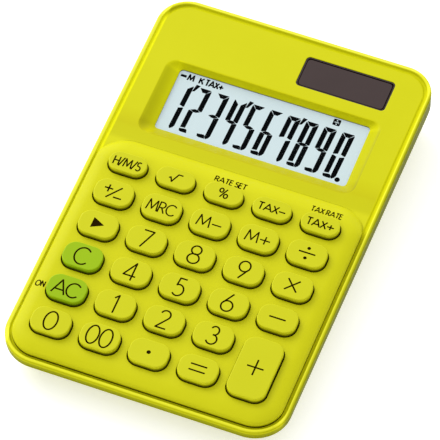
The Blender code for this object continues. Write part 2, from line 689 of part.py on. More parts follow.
def make_base_fittings():
    for name, (x, y) in FOOT_SPOTS.items():
        rings = [at(base_spot(x, y, FOOT_RADIUS - 0.25), 0.0), at(base_spot(x, y, FOOT_RADIUS), 0.25),
                 at(base_spot(x, y, FOOT_RADIUS), FOOT_HEIGHT)]
        round_shading(solid("foot_" + name, [rings], "rubber"))
    for name, (x, y, _) in CASE_SCREWS.items():
        screw_at("case_screw_" + name, *level(x, y), CASE_SCREW_Z, deck_underside_level(y) - 0.6)
    screw_at("battery_cover_screw", DOOR_SCREW[0], DOOR_SCREW[1] - LENGTH / 2, BASE_Z + 0.15,
             BLOCK_TOP_Z - 0.2, head=0.6)


def screw_at(name, x, y, z, top, head=HEAD_HEIGHT):
    """A round-headed screw standing on its head, with a cross slot in the head."""
    rings = [at(circle(x, y, HEAD_RADIUS - 0.3), z), at(circle(x, y, HEAD_RADIUS), z + 0.3),
             at(circle(x, y, HEAD_RADIUS), z + head), at(circle(x, y, SHANK_RADIUS), z + head),
             at(circle(x, y, SHANK_RADIUS), top)]
    screw = solid(name, [rings], "steel")
    for suffix, dx, dy in (("_slot_x", SLOT_ARM, SLOT_HALF), ("_slot_y", SLOT_HALF, SLOT_ARM)):
        box = rounded(x - dx, x + dx, y - dy, y + dy, 0.02, steps=1)
        cut(screw, name + suffix, [prism(box, z - 0.5, z + SLOT_DEPTH)])
    round_shading(screw)


def make_battery_cover():
    z0 = BASE_Z + DOOR_Z
    plate = prism(door_outline(0.0, DOOR_CORNER), z0, z0 + DOOR_THICKNESS)
    door = solid("battery_cover", [plate], "lime_plastic")
    cut(door, "door_hole", [prism(base_spot(*DOOR_SCREW, DOOR_HOLE_RADIUS, 12), -1.0, 5.0)])
    cut(door, "door_sink", [prism(base_spot(*DOOR_SCREW, HEAD_RADIUS + 0.2), -1.0, z0 + 0.9)])
    length, width, depth = RIB_SIZE
    left = DOOR_X[0] + 2.0
    ribs = []
    for k in range(RIBS):
        y = sum(DOOR_Y) / 2 - LENGTH / 2 + (k - (RIBS - 1) / 2) * RIB_PITCH
        rib = rounded(left, left + length, y - width / 2, y + width / 2, 0.1, steps=1)
        ribs.append(prism(rib, -1.0, z0 + depth))
    cut(door, "door_grip", ribs)


def make_battery():
    top = CELL_BOTTOM_Z + CELL_HEIGHT
    rings = [(CELL_RADIUS - 0.3, CELL_BOTTOM_Z), (CELL_RADIUS, CELL_BOTTOM_Z + 0.3), (CELL_RADIUS, top - 0.5),
             (CELL_RADIUS - 0.6, top - 0.35), (CELL_RADIUS - 0.9, top)]
    cell = [at(base_spot(*CELL_CENTRE, radius, CELL_SIDES), z) for radius, z in rings]
    round_shading(solid("button_cell", [cell], "plated_steel"))
    x, y = CELL_CENTRE[0], CELL_CENTRE[1] - LENGTH / 2
    low = RING_TOP_Z + GAP
    high = low + SPRING_THICKNESS
    middle = (low + high) / 2
    dip = top + GAP + SPRING_THICKNESS / 2
    bridge = [(y - 8.0, middle), (y - 5.6, middle), (y - 2.5, dip), (y + 2.5, dip), (y + 5.6, middle),
              (y + 13.0, middle)]
    rings = [[(px + x, py, pz) for px, py, pz in ring]
             for ring in strip(bridge, BRIDGE_HALF_WIDTH, SPRING_THICKNESS)]
    solid("battery_contact_minus", [rings], "plated_steel")
    edge = x - CELL_RADIUS - 0.25
    back = edge - SPRING_THICKNESS
    outline = [(back, BLOCK_TOP_Z), (edge, BLOCK_TOP_Z), (edge, high), (edge - 5.0, high), (edge - 5.0, low),
               (back, low)]
    rings = [[(px, y + side * SPRING_HALF_WIDTH, pz) for px, pz in outline] for side in (1, -1)]
    solid("battery_contact_plus", [rings], "plated_steel")


def build():
    clear_scene()
    deck = empty("deck_frame", (-CASE_X, FRONT_EDGE_Y, FRONT_RIM_HEIGHT), TILT)
    make_upper_case(deck)
    make_keys(deck)
    make_keypad_mat(deck)
    make_board(deck)
    make_display(deck)
    make_flex(deck)
    make_solar(deck)
    make_leads(deck)
    make_lower_case(deck)
    make_base_fittings()
    make_battery_cover()
    make_battery()


build()
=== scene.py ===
"""Looks of the desk calculator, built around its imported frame.

Shapes are worked out in millimetres in the deck frame: x to the right, y from the front edge towards the
back along the sloping deck, z square to the deck with zero at the top of the rim. The base is worked out
level with the table. Both are turned into metres in the frame's own axes when a mesh is made.
"""

import json
import math

import bmesh
import bpy
from mathutils import Matrix, Vector
from mathutils.bvhtree import BVHTree


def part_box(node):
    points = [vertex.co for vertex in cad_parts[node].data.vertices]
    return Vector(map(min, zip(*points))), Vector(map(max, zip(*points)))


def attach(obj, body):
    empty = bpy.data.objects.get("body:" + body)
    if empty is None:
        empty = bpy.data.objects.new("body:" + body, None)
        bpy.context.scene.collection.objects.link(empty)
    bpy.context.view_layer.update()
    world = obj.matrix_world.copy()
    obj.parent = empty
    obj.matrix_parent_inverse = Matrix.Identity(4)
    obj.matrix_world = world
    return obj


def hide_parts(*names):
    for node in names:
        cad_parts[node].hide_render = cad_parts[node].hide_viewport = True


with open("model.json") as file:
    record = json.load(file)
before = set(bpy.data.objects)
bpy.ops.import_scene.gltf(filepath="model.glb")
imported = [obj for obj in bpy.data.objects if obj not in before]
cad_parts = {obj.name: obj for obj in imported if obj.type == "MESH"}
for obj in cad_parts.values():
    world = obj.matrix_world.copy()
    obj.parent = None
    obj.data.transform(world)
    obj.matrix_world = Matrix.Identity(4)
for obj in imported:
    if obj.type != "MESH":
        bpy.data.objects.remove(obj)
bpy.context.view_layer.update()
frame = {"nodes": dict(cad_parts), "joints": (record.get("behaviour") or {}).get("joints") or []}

MM = 0.001

# ---- sizes, as in the frame

WIDTH = 79.8
LENGTH = 126.6
CASE_X = 0.5
LEFT_X = CASE_X - WIDTH / 2
RIGHT_X = CASE_X + WIDTH / 2
CORNER_FRONT = 10.2
CORNER_BACK = 9.0
PARTING_FRONT_Z = -2.2
PARTING_BACK_Z = -6.0
FRONT_RIM_HEIGHT = 9.9
FRONT_EDGE_Y = -63.4
PANEL_Z = -0.5
PANEL_UNDERSIDE_Z = -2.0
WALL = 1.6
GAP = 0.3

PAD_INSET = 2.0
PAD_BACK_Y = 76.3
PAD_CORNER_FRONT = 8.05
PAD_CORNER_BACK = 8.5
PAD_TOP_CORNER = 3.5
PAD_Z = 1.9
PAD_UNDERSIDE_Z = 0.4
PAD_EDGE_DROP = 1.0
PAD_SIDE_RUN = 3.6
PAD_FRONT_RUN = 4.6
PAD_BACK_DROP = 2.45
PAD_BACK_RUN = 6.3
PAD_CAVITY_INSET = 3.6
PAD_CAVITY_BACK_Y = 72.5
PAD_CAVITY_CORNER = 6.0
PAD_SHADE_Z = -0.08
PANEL_INSET = 2.46  # where the panel starts, inside the rim's groove

COLUMN_PITCH = 13.8
ROW_PITCH = 11.055
FIRST_ROW_Y = 11.73
SMALL_ROW_Y = 66.2
SMALL_ROW = 5
KEY_SIZE = (10.85, 7.8)
SMALL_KEY_SIZE = (10.85, 6.2)
KEY_CORNER = 3.2
KEY_TOP_Z = 3.6
KEY_FILLET = 0.26
FLANGE = 0.9
FLANGE_TOP_Z = 0.1
FLANGE_BOTTOM_Z = -0.5
KEY_TRAVEL = 1.1
DOME_RADIUS = 3.2  # a dome of the mat, at its foot
DOME_SHARE = 0.85  # how much of that radius is left at the height a pressed key's flange comes down to
HOLE_GAP = 0.3
INK_LIFT = 0.012  # how far print stands above what it is printed on

LCD_TILT = math.radians(2.9)
LCD_CENTRE = (0.28, 94.8, -3.23)
LCD_SIZE = (55.5, 20.5)
LCD_CORNER = 1.1
LCD_LIP = 0.25
LCD_GLASS_SIZE = (58.3, 23.0)
LCD_GLASS_Z = (-2.0, -0.58)
WINDOW_SIZE = (59.1, 23.7)
WINDOW_Z = (-0.52, -0.3)
BEZEL_LEFT, BEZEL_RIGHT = -31.0, 31.0
BEZEL_FRONT_Y = 80.55
BEZEL_BACK_Y = 105.95
BEZEL_CORNER = 3.2
SOLAR_BORDER = (0.34, 0.4, 0.22, 0.5)  # left, right, front and back
SKIRT = 1.3

SOLAR_X = (3.97, 29.85)
SOLAR_Y = (109.94, 120.25)
SOLAR_CORNER = 1.2

BASE_Z = 0.8
BASE_HALF_WIDTH = 36.0
BASE_FRONT_Y = 7.0
BASE_BACK_Y = 122.0
BASE_CORNER = 8.0
BASE_FLOOR_Z = 2.9
BASE_EDGE = 0.9
WELL_RADIUS = 1.85
WELL_TOP_Z = 2.6
POCKET_GAP = 0.2
BASE_START_Y = FRONT_EDGE_Y + 0.1  # where the level base's y is counted from
FOOT_RADIUS = 3.5
FOOT_POCKET_TOP_Z = 1.2
COVER_POCKET_TOP_Z = 2.65
LABEL = (3.5, 27.5, -2.0, 16.0)  # left, right, front and back of the shallow recess for a label
LABEL_TOP_Z = BASE_Z + 0.22
PLACES = ("front_left", "front_right", "back_left", "back_right")

KEYS = [  # node, column, row, legend, and the legend's left, right, bottom and top from the key's middle
    ("key_hms", 0, 5, "H/M/S", (-3.85, 3.75, -1.55, 1.2)),
    ("key_root", 1, 5, "root", (-1.8, 1.75, -1.45, 1.25)),
    ("key_percent", 2, 5, "%", (-1.3, 1.3, -1.5, 1.4)),
    ("key_tax_minus", 3, 5, "TAX-", (-3.8, 3.9, -1.3, 1.0)),
    ("key_tax_plus", 4, 5, "TAX+", (-3.8, 3.9, -1.3, 1.0)),
    ("key_sign", 0, 4, "sign", (-2.85, 2.7, -2.25, 2.0)),
    ("key_mrc", 1, 4, "MRC", (-3.95, 3.9, -1.85, 1.6)),
    ("key_m_minus", 2, 4, "M-", (-3.4, 3.35, -1.8, 1.7)),
    ("key_m_plus", 3, 4, "M+", (-3.4, 3.4, -1.8, 1.7)),
    ("key_divide", 4, 4, "divide", (-2.35, 2.3, -1.6, 1.65)),
    ("key_shift", 0, 3, "arrow", (-1.7, 1.7, -1.75, 1.65)),
    ("key_7", 1, 3, "7", (-1.5, 1.35, -2.9, 2.7)),
    ("key_8", 2, 3, "8", (-1.6, 1.6, -2.95, 2.8)),
    ("key_9", 3, 3, "9", (-1.5, 1.5, -2.95, 2.85)),
    ("key_multiply", 4, 3, "times", (-1.75, 1.65, -1.8, 1.9)),
    ("key_c", 0, 2, "C", (-2.15, 1.7, -2.8, 2.6)),
    ("key_4", 1, 2, "4", (-1.65, 1.75, -2.9, 2.8)),
    ("key_5", 2, 2, "5", (-1.25, 1.4, -2.95, 2.7)),
    ("key_6", 3, 2, "6", (-1.65, 1.5, -2.9, 2.9)),
    ("key_minus", 4, 2, "minus", (-2.35, 2.25, -0.05, -0.05)),
    ("key_ac", 0, 1, "AC", (-3.65, 3.45, -2.45, 2.05)),
    ("key_1", 1, 1, "1", (-0.8, 0.2, -3.0, 2.75)),
    ("key_2", 2, 1, "2", (-1.5, 1.36, -2.85, 2.8)),
    ("key_3", 3, 1, "3", (-1.35, 1.35, -2.9, 2.8)),
    ("key_0", 0, 0, "0", (-1.8, 1.7, -2.9, 2.9)),
    ("key_00", 1, 0, "00", (-3.55, 3.35, -2.95, 2.9)),
    ("key_point", 2, 0, "point", (-0.65, 0.5, -0.5, 0.6)),
    ("key_equals", 3, 0, "equals", (-2.35, 2.2, -0.93, 0.93)),
    ("key_plus", 4, 0, "plus", (-2.3, 2.3, -2.45, 2.6)),
]
TALL_KEY = "key_plus"
GREEN_KEYS = ("key_c", "key_ac")
CAPTIONS = [  # words, and their left, right, bottom and top on the keypad
    ("RATE SET", (-4.3, 4.6, 70.35, 72.15)),
    ("TAX RATE", (23.2, 31.9, 70.5, 72.3)),
    ("ON", (-36.55, -34.0, 22.0, 23.7)),
]
LEGEND_STROKE = 0.46
SMALL_LEGEND_STROKE = 0.4
SMALL_LEGEND_HEIGHT = 4.0
BOLD_SIGNS = ("divide", "times", "minus", "equals", "plus")
CAPTION_STROKE = 0.34
DIVIDE_DOT = 0.48

# The deck leans back by the angle between its keys' travel and straight down.
press = Vector(frame["joints"][0]["axis"])
TILT = math.atan2(press.y, -press.z)
DECK = Matrix.Translation((-CASE_X, FRONT_EDGE_Y, FRONT_RIM_HEIGHT)) @ Matrix.Rotation(TILT, 4, "X")
LEVEL = Matrix.Identity(4)
LCD = DECK @ Matrix.Translation(LCD_CENTRE) @ Matrix.Rotation(LCD_TILT, 4, "X")

STEPS = 14  # points round a quarter turn of a large corner
SHARP_ANGLE = math.radians(40)
DRAPE_STEP = 0.7  # the longest piece of a stroke that is laid over a curved surface
PRINT, SHADE, RIM, SLOPE = 1, 2, 3, 4  # material slots of the mouldings, after their plain plastic; SHADE is painted shade, and RIM and SLOPE carry painted light and shade


# ---- outlines

def rounded(x0, x1, y0, y1, front, back=None, steps=STEPS, stops=()):
    """A rectangle with round corners, as (x, y, facing angle).

    It runs anticlockwise from the front of its right side. stops are extra points along both sides, from
    front to back.
    """
    back = front if back is None else back
    corners = [(x1 - front, y0 + front, front, -90, [(x1, y, 0.0) for y in stops]),
               (x1 - back, y1 - back, back, 0, []),
               (x0 + back, y1 - back, back, 90, [(x0, y, math.pi) for y in reversed(stops)]),
               (x0 + front, y0 + front, front, 180, [])]
    points = []
    for cx, cy, radius, start, extra in corners:
        for k in range(steps + 1):
            angle = math.radians(start + 90 * k / steps)
            points.append((cx + radius * math.cos(angle), cy + radius * math.sin(angle), angle))
        points += extra
    return points


def box_outline(size, corner, grow=0.0):
    """A rounded rectangle about the middle."""
    x, y = size[0] / 2 + grow, size[1] / 2 + grow
    return rounded(-x, x, -y, y, corner, steps=8)


def circle(x, y, radius, sides=48):
    turn = 2 * math.pi / sides
    turns = [k * turn for k in range(sides)]
    return [(x + radius * math.cos(a), y + radius * math.sin(a), a) for a in turns]


def grown(outline, distance, z):
    """An outline moved outwards by a distance along its own normals, at a height."""
    height = z if callable(z) else lambda x, y: z
    moved = [(x + distance * math.cos(a), y + distance * math.sin(a)) for x, y, a in outline]
    return [(x, y, height(x, y)) for x, y in moved]


def case_outline(inset):
    half = WIDTH / 2 - inset
    return rounded(CASE_X - half, CASE_X + half, inset, LENGTH - inset, CORNER_FRONT - inset,
                   CORNER_BACK - inset, stops=(PAD_MEETS_PANEL_Y,))


def pad_meets_panel():
    """Where the round back corner of the keypad's foot crosses the edge of the panel."""
    across = WIDTH / 2 - PANEL_INSET - (WIDTH / 2 - PAD_INSET - PAD_CORNER_BACK)
    return PAD_BACK_Y - PAD_CORNER_BACK + math.sqrt(PAD_CORNER_BACK ** 2 - across ** 2)


PAD_MEETS_PANEL_Y = pad_meets_panel()


def parting(offset):
    """The height of the seam between the two halves of the case, moved up by an offset."""
    slope = (PARTING_BACK_Z - PARTING_FRONT_Z) / LENGTH
    return lambda x, y: PARTING_FRONT_Z + slope * y + offset


def arc(cx, cy, rx, ry, start, end, steps):
    """Points along part of an ellipse, between two angles in degrees."""
    turns = [math.radians(start + (end - start) * k / steps) for k in range(steps + 1)]
    return [(cx + rx * math.cos(a), cy + ry * math.sin(a)) for a in turns]


def bow(radius, start, end, steps):
    """Offsets (out, up) along an arc between two angles in degrees."""
    return arc(0.0, 0.0, radius, radius, start, end, steps)


# ---- meshes

def in_scene(name, data):
    made = bpy.data.objects.new(name, data)
    bpy.context.scene.collection.objects.link(made)
    return made


class Shape:
    """A mesh under construction, in millimetres in one frame."""

    def __init__(self, space):
        self.space = Matrix.Scale(MM, 4) @ space
        self.work = bmesh.new()

    def ring(self, points):
        return [self.work.verts.new(self.space @ Vector(p)) for p in points]

    def rings(self, outline, profile):
        """An outline's rings at each (out, up) of a profile."""
        return [self.ring(grown(outline, out, up)) for out, up in profile]

    def face(self, corners, slot):
        corners = [v for k, v in enumerate(corners) if v is not corners[k - 1]]
        if len(corners) > 2:
            self.work.faces.new(corners).material_index = slot

    def skin(self, rings, slot=0):
        """Joins closed rings of equal length, in order."""
        for lower, upper in zip(rings, rings[1:]):
            for k in range(len(lower)):
                self.face((lower[k - 1], lower[k], upper[k], upper[k - 1]), slot)

    def cap(self, ring, slot=0, down=False):
        self.face(ring[::-1] if down else ring, slot)

    def solid(self, rings):
        """A closed body through rings of points, from its lowest to its highest."""
        made = [self.ring(points) for points in rings]
        self.skin(made)
        self.cap(made[0], down=True)
        self.cap(made[-1])

    def plate(self, rings, slot=0, up=True):
        """Fills the flat region between an outer ring and any number of holes."""
        edges = []
        for ring in rings:
            for k, vertex in enumerate(ring):
                ends = (ring[k - 1], vertex)
                edges.append(self.work.edges.get(ends) or self.work.edges.new(ends))
        way = (self.space.to_3x3() @ Vector((0, 0, 1 if up else -1))).normalized()
        made = bmesh.ops.triangle_fill(self.work, use_beauty=True, edges=edges, normal=way)
        for item in made["geom"]:
            if isinstance(item, bmesh.types.BMFace):
                item.material_index = slot
                item.normal_update()
                if item.normal.dot(way) < 0:
                    item.normal_flip()

    def stroke(self, points, width, height):
        """A flat ink line along (x, y) points, with round joins where it turns sharply."""
        path = []
        for k, (x, y) in enumerate(points[:-1]):
            nx, ny = points[k + 1]
            pieces = max(1, math.ceil(math.hypot(nx - x, ny - y) / DRAPE_STEP)) if callable(height) else 1
            path += [Vector((x + (nx - x) * s / pieces, y + (ny - y) * s / pieces)) for s in range(pieces)]
        path.append(Vector(points[-1]))
        loop = (path[0] - path[-1]).length < 1e-6
        if loop:
            path.pop()
        sections = []
        for k, here in enumerate(path):
            before = (here - path[k - 1]).normalized() if loop or k else None
            after = (path[(k + 1) % len(path)] - here).normalized() if loop or k < len(path) - 1 else before
            before = before or after
            sections += self.join(here, before, after, width / 2, height)
        if loop:
            sections.append(sections[0])
        for (left, right), (next_left, next_right) in zip(sections, sections[1:]):
            self.face((right, next_right, next_left, left), PRINT)

    def join(self, here, before, after, half, height):
        """The (left, right) corners of a stroke where it passes one of its points."""
        z = height if callable(height) else lambda x, y: height

        def corner(p):
            return self.work.verts.new(self.space @ Vector((p.x, p.y, z(p.x, p.y))))

        left_before, left_after = Vector((-before.y, before.x)), Vector((-after.y, after.x))
        middle = left_before + left_after
        middle = middle.normalized() if middle.length > 1e-6 else left_before
        reach = half / max(0.25, middle.dot(left_before))
        if before.dot(after) > 0.8:
            return [(corner(here + middle * reach), corner(here - middle * reach))]
        left_turn = before.x * after.y - before.y * after.x > 0
        side = -1 if left_turn else 1
        inside = corner(here - middle * reach * side)
        outside = []
        for k in range(5):
            way = left_before.lerp(left_after, k / 4)
            way = way.normalized() if way.length > 1e-6 else before * side
            outside.append(corner(here + way * half * side))
        return [(inside, v) if left_turn else (v, inside) for v in outside]

    def disc(self, x, y, radius, z):
        self.cap(self.ring(grown(circle(x, y, radius, 24), 0.0, z)), PRINT)

    def heights(self):
        """A function for the height of what has been built so far, under a point."""
        tree = BVHTree.FromBMesh(self.work)
        back = self.space.inverted()
        down = (self.space.to_3x3() @ Vector((0, 0, -1))).normalized()

        def height(x, y):
            hit = tree.ray_cast(self.space @ Vector((x, y, 20.0)), down)[0]
            return (back @ hit).z + INK_LIFT

        return height

    def make(self, name, materials, replaces, body="case"):
        """Finishes the piece. Print lies on open surfaces, so its faces keep the side they were given."""
        mesh = bpy.data.meshes.new(name)
        moulded = [face for face in self.work.faces if face.material_index != PRINT]
        bmesh.ops.recalc_face_normals(self.work, faces=moulded)
        self.work.to_mesh(mesh)
        self.work.free()
        for item in materials:
            mesh.materials.append(item)
        mesh.shade_smooth()
        mesh.set_sharp_from_angle(angle=SHARP_ANGLE)
        piece = in_scene(name, mesh)
        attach(piece, body)
        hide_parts(*replaces)


def node_box(node):
    """A frame node's lowest and highest corner, in millimetres."""
    return [[v / MM for v in corner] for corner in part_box(node)]


def node_middle(node):
    low, high = node_box(node)
    return (low[0] + high[0]) / 2, (low[1] + high[1]) / 2


# ---- materials

def new_material(name):
    material = bpy.data.materials.new(name)
    material.use_nodes = True
    return material, material.node_tree, material.node_tree.nodes["Principled BSDF"]


def link(tree, source, output, target, socket):
    tree.links.new(source.outputs[output], target.inputs[socket])


def add(tree, kind, **inputs):
    """A new node with some inputs set. An underscore stands for the space in an input's name."""
    node = tree.nodes.new(kind)
    for socket, value in inputs.items():
        node.inputs[socket.replace("_", " ")].default_value = value
    return node


def noise(tree, scale, detail, stretch):
    """Noise fixed to the part. The scale is in waves per metre."""
    where = add(tree, "ShaderNodeTexCoord")
    place = add(tree, "ShaderNodeMapping", Scale=stretch)
    made = add(tree, "ShaderNodeTexNoise", Scale=scale, Detail=detail)
    link(tree, where, "Object", place, "Vector")
    link(tree, place, "Vector", made, "Vector")
    return made


def ramp(tree, source, output, stops):
    made = add(tree, "ShaderNodeValToRGB")
    elements = made.color_ramp.elements
    while len(elements) < len(stops):
        elements.new(0.5)
    for element, (place, colour) in zip(elements, stops):
        element.position = place
        element.color = (*colour, 1)
    link(tree, source, output, made, "Fac")
    return made


def uneven_gloss(tree, shader, scale, low, high, stretch=(1, 1, 1)):
    """Roughness that wanders between low and high, from the middle of a noise's range."""
    cloud = noise(tree, scale, 2.0, stretch)
    rough = add(tree, "ShaderNodeMapRange", From_Min=0.3, From_Max=0.7, To_Min=low, To_Max=high)
    link(tree, cloud, "Fac", rough, "Value")
    link(tree, rough, "Result", shader, "Roughness")


def share_along(tree, output, direction, **span):
    """How far a point lies along a direction, as a share of a span."""
    where = add(tree, "ShaderNodeTexCoord")
    along = add(tree, "ShaderNodeVectorMath")
    along.operation = "DOT_PRODUCT"
    along.inputs[1].default_value = direction
    link(tree, where, output, along, 0)
    share = add(tree, "ShaderNodeMapRange", **span)
    link(tree, along, "Value", share, "Value")
    return share


def surface(name, colour, other, roughness, grain, bump, mottle=60.0, uneven=0.05, specular=0.5,
            metallic=0.0, stretch=(1, 1, 1)):
    """A material with mottled colour, uneven gloss and a fine grain, all worked out from noise."""
    material, tree, shader = new_material(name)
    cloud = noise(tree, mottle, 3.0, stretch)
    tone = ramp(tree, cloud, "Fac", [(0.35, other), (0.65, colour)])
    link(tree, tone, "Color", shader, "Base Color")
    uneven_gloss(tree, shader, 900.0, roughness - uneven, roughness + uneven, stretch)
    texture = noise(tree, grain, 2.0, stretch)
    relief = add(tree, "ShaderNodeBump", Distance=bump)
    link(tree, texture, "Fac", relief, "Height")
    link(tree, relief, "Normal", shader, "Normal")
    shader.inputs["Specular IOR Level"].default_value = specular
    shader.inputs["Metallic"].default_value = metallic
    return material


def paint_light_and_shade(material, axis, stops):
    """Paints light and shade into a material's colour, as tones along one axis of the deck frame, in
    millimetres.
    """
    tree = material.node_tree
    shader = tree.nodes["Principled BSDF"]
    source = shader.inputs["Base Color"].links[0].from_socket
    direction = DECK.to_3x3() @ Vector(axis)
    zero = DECK.translation.dot(direction)
    low, high = stops[0][0], stops[-1][0]
    share = share_along(tree, "Object", direction, From_Min=(zero + low) * MM, From_Max=(zero + high) * MM)
    tone = ramp(tree, share, "Result", [((place - low) / (high - low), tone) for place, tone in stops])
    mix = add(tree, "ShaderNodeMix")
    mix.data_type = "RGBA"
    mix.blend_type = "MULTIPLY"
    mix.inputs["Factor"].default_value = 1.0
    colour_in = [socket for socket in mix.inputs if socket.type == "RGBA"]
    colour_out = [socket for socket in mix.outputs if socket.type == "RGBA"]
    tree.links.new(source, colour_in[0])
    tree.links.new(tone.outputs["Color"], colour_in[1])
    tree.links.new(colour_out[0], shader.inputs["Base Color"])


def glowing(material, colour, strength):
    """Gives a material a little light of its own: painted light on the display's face, and the floor's even
    glow.
    """
    shader = material.node_tree.nodes["Principled BSDF"]
    shader.inputs["Emission Color"].default_value = (*colour, 1)
    shader.inputs["Emission Strength"].default_value = strength


def clear_window(name, ior):
    """A clear pane: it lets everything through except its own faint reflection."""
    material, tree, shader = new_material(name)
    through = add(tree, "ShaderNodeBsdfTransparent", Color=(0.985, 0.99, 0.99, 1))
    shine = add(tree, "ShaderNodeBsdfGlossy")
    mix = add(tree, "ShaderNodeMixShader")
    fresnel = add(tree, "ShaderNodeFresnel", IOR=ior)
    uneven_gloss(tree, shine, 400.0, 0.03, 0.07)
    side = add(tree, "ShaderNodeNewGeometry")
    outside = add(tree, "ShaderNodeMath")
    outside.operation = "SUBTRACT"
    outside.inputs[0].default_value = 1.0
    link(tree, side, "Backfacing", outside, 1)
    amount = add(tree, "ShaderNodeMath")
    amount.operation = "MULTIPLY"
    link(tree, fresnel, "Fac", amount, 0)
    link(tree, outside, "Value", amount, 1)
    link(tree, amount, "Value", mix, "Fac")
    tree.links.new(through.outputs[0], mix.inputs[1])
    tree.links.new(shine.outputs[0], mix.inputs[2])
    tree.links.new(mix.outputs[0], tree.nodes["Material Output"].inputs["Surface"])
    tree.nodes.remove(shader)
    return material


UP, BACK, ACROSS = (0, 0, 1), (0, 1, 0), (1, 0, 0)
PLAIN = (1.0, 1.0, 1.0)  # a tone that changes nothing
LIME_LOOK = ((0.7, 0.693, 0.006), (0.684, 0.677, 0.005), 0.42, 5200.0, 1e-5)
KEY_GRAIN = (0.4, 6500.0, 7e-6)  # roughness, grain and bump
WIRE_GRAIN = (0.45, 3500.0, 1e-5)
LIME = surface("lime_plastic", *LIME_LOOK, specular=0.08)
# Painted shade: the lime gets darker the deeper it lies below the panel, in the bezel and the grooves.
paint_light_and_shade(LIME, UP, [
    (-6.0, (0.75, 0.75, 0.05)), (-1.3, (0.77, 0.77, 0.1)), (-0.7, (0.8, 0.8, 0.5)),
    (-0.48, (0.83, 0.83, 0.9)), (4.0, (0.83, 0.83, 0.9))
])
# Painted light on the keypad's back slope, and painted shade on the panel between the keypad and the
# display.
paint_light_and_shade(LIME, BACK, [
    (0.0, PLAIN), (66.0, PLAIN), (71.0, (1.05, 1.05, 1.4)), (75.4, (1.05, 1.05, 1.4)),
    (76.8, (0.92, 0.92, 0.8)), (80.6, (0.92, 0.91, 0.7)), (81.4, (0.91, 0.88, 0.5)),
    (84.0, (0.96, 0.94, 0.6)), (87.0, PLAIN), (127.0, PLAIN)
])
LIME_RIM_PAINTED_LIGHT = surface("lime_rim_painted_light", *LIME_LOOK, specular=0.02)
# Painted shade down the rim's outer wall and in its groove, and a painted highlight along the crest of its
# bead.
paint_light_and_shade(LIME_RIM_PAINTED_LIGHT, UP, [
    (-6.0, (0.32, 0.34, 0.05)), (-2.2, (0.37, 0.385, 0.05)), (-1.15, (0.5, 0.515, 0.1)),
    (-0.76, (0.76, 0.76, 0.5)), (-0.5, (0.8, 0.8, 0.8)), (-0.4, (0.7, 0.7, 0.6)),
    (-0.2, (0.78, 0.78, 0.7)), (-0.06, (1.07, 1.07, 5.0)), (0.05, (1.07, 1.07, 5.0))
])
# Painted light in the groove along the left side, and a painted highlight then painted shade across the
# right side's bead.
paint_light_and_shade(LIME_RIM_PAINTED_LIGHT, ACROSS, [
    (LEFT_X, (0.95, 0.95, 1.6)), (LEFT_X + 0.8, (0.97, 0.97, 1.6)), (LEFT_X + 1.2, (1.55, 1.55, 2.6)),
    (LEFT_X + 2.0, (1.55, 1.55, 2.6)), (LEFT_X + 2.4, PLAIN), (RIGHT_X - 2.7, PLAIN),
    (RIGHT_X - 1.5, (1.22, 1.2, 1.3)), (RIGHT_X - 0.95, (1.16, 1.16, 1.5)),
    (RIGHT_X - 0.55, (0.72, 0.73, 0.4)), (RIGHT_X, (0.58, 0.6, 0.3))
])
# Painted shade in the groove along the back, and a painted highlight beside it.
paint_light_and_shade(LIME_RIM_PAINTED_LIGHT, BACK, [
    (0.0, PLAIN), (LENGTH - 2.6, PLAIN), (LENGTH - 2.1, (1.08, 1.08, 1.2)),
    (LENGTH - 1.8, (0.94, 0.94, 1.0)), (LENGTH - 1.58, (0.88, 0.88, 0.8)),
    (LENGTH - 1.35, (1.28, 1.28, 1.6)), (LENGTH - 1.0, (1.3, 1.3, 2.2)),
    (LENGTH - 0.7, (0.97, 0.97, 2.0)), (LENGTH, (0.88, 0.88, 2.0))
])
LIME_SLOPE_PAINTED_LIGHT = surface("lime_slope_painted_light", *LIME_LOOK, specular=0.08)
# Painted shade on the bezel's front and back walls, with a painted light band near the top of the back wall.
paint_light_and_shade(LIME_SLOPE_PAINTED_LIGHT, BACK, [
    (80.0, (0.68, 0.64, 0.3)), (84.0, (0.72, 0.69, 0.3)), (86.0, (0.8, 0.79, 0.5)),
    (103.0, (0.84, 0.84, 0.4)), (104.0, (0.98, 0.97, 0.2)), (105.2, (0.94, 0.93, 0.2)),
    (106.0, (0.86, 0.85, 0.2))
])
# Painted light and shade across the bezel's left and right walls.
paint_light_and_shade(LIME_SLOPE_PAINTED_LIGHT, ACROSS, [
    (BEZEL_LEFT, (0.84, 0.85, 0.3)), (BEZEL_LEFT + 1.4, (0.96, 0.97, 0.4)),
    (BEZEL_LEFT + 3.0, (1.16, 1.17, 0.5)), (-26.0, PLAIN), (BEZEL_RIGHT - 3.4, PLAIN),
    (BEZEL_RIGHT - 2.4, (0.94, 0.94, 0.6)), (BEZEL_RIGHT - 0.6, (0.92, 0.92, 0.6)),
    (BEZEL_RIGHT, (0.8, 0.8, 0.5))
])
# Painted shade: a darker copy of the lime plastic, for the lower case and the battery cover.
LIME_BASE_PAINTED_SHADE = surface("lime_base_painted_shade", (0.34, 0.34, 0.0026), (0.328, 0.328, 0.002), 0.46, 5200.0, 1.2e-5,
                    specular=0.03)
LIME_KEY = surface("lime_key_plastic", (0.56, 0.562, 0.01), (0.546, 0.548, 0.009), *KEY_GRAIN,
                   specular=0.08)
GREEN_KEY = surface("green_key_plastic", (0.295, 0.462, 0.005), (0.284, 0.448, 0.004), *KEY_GRAIN,
                    specular=0.08)
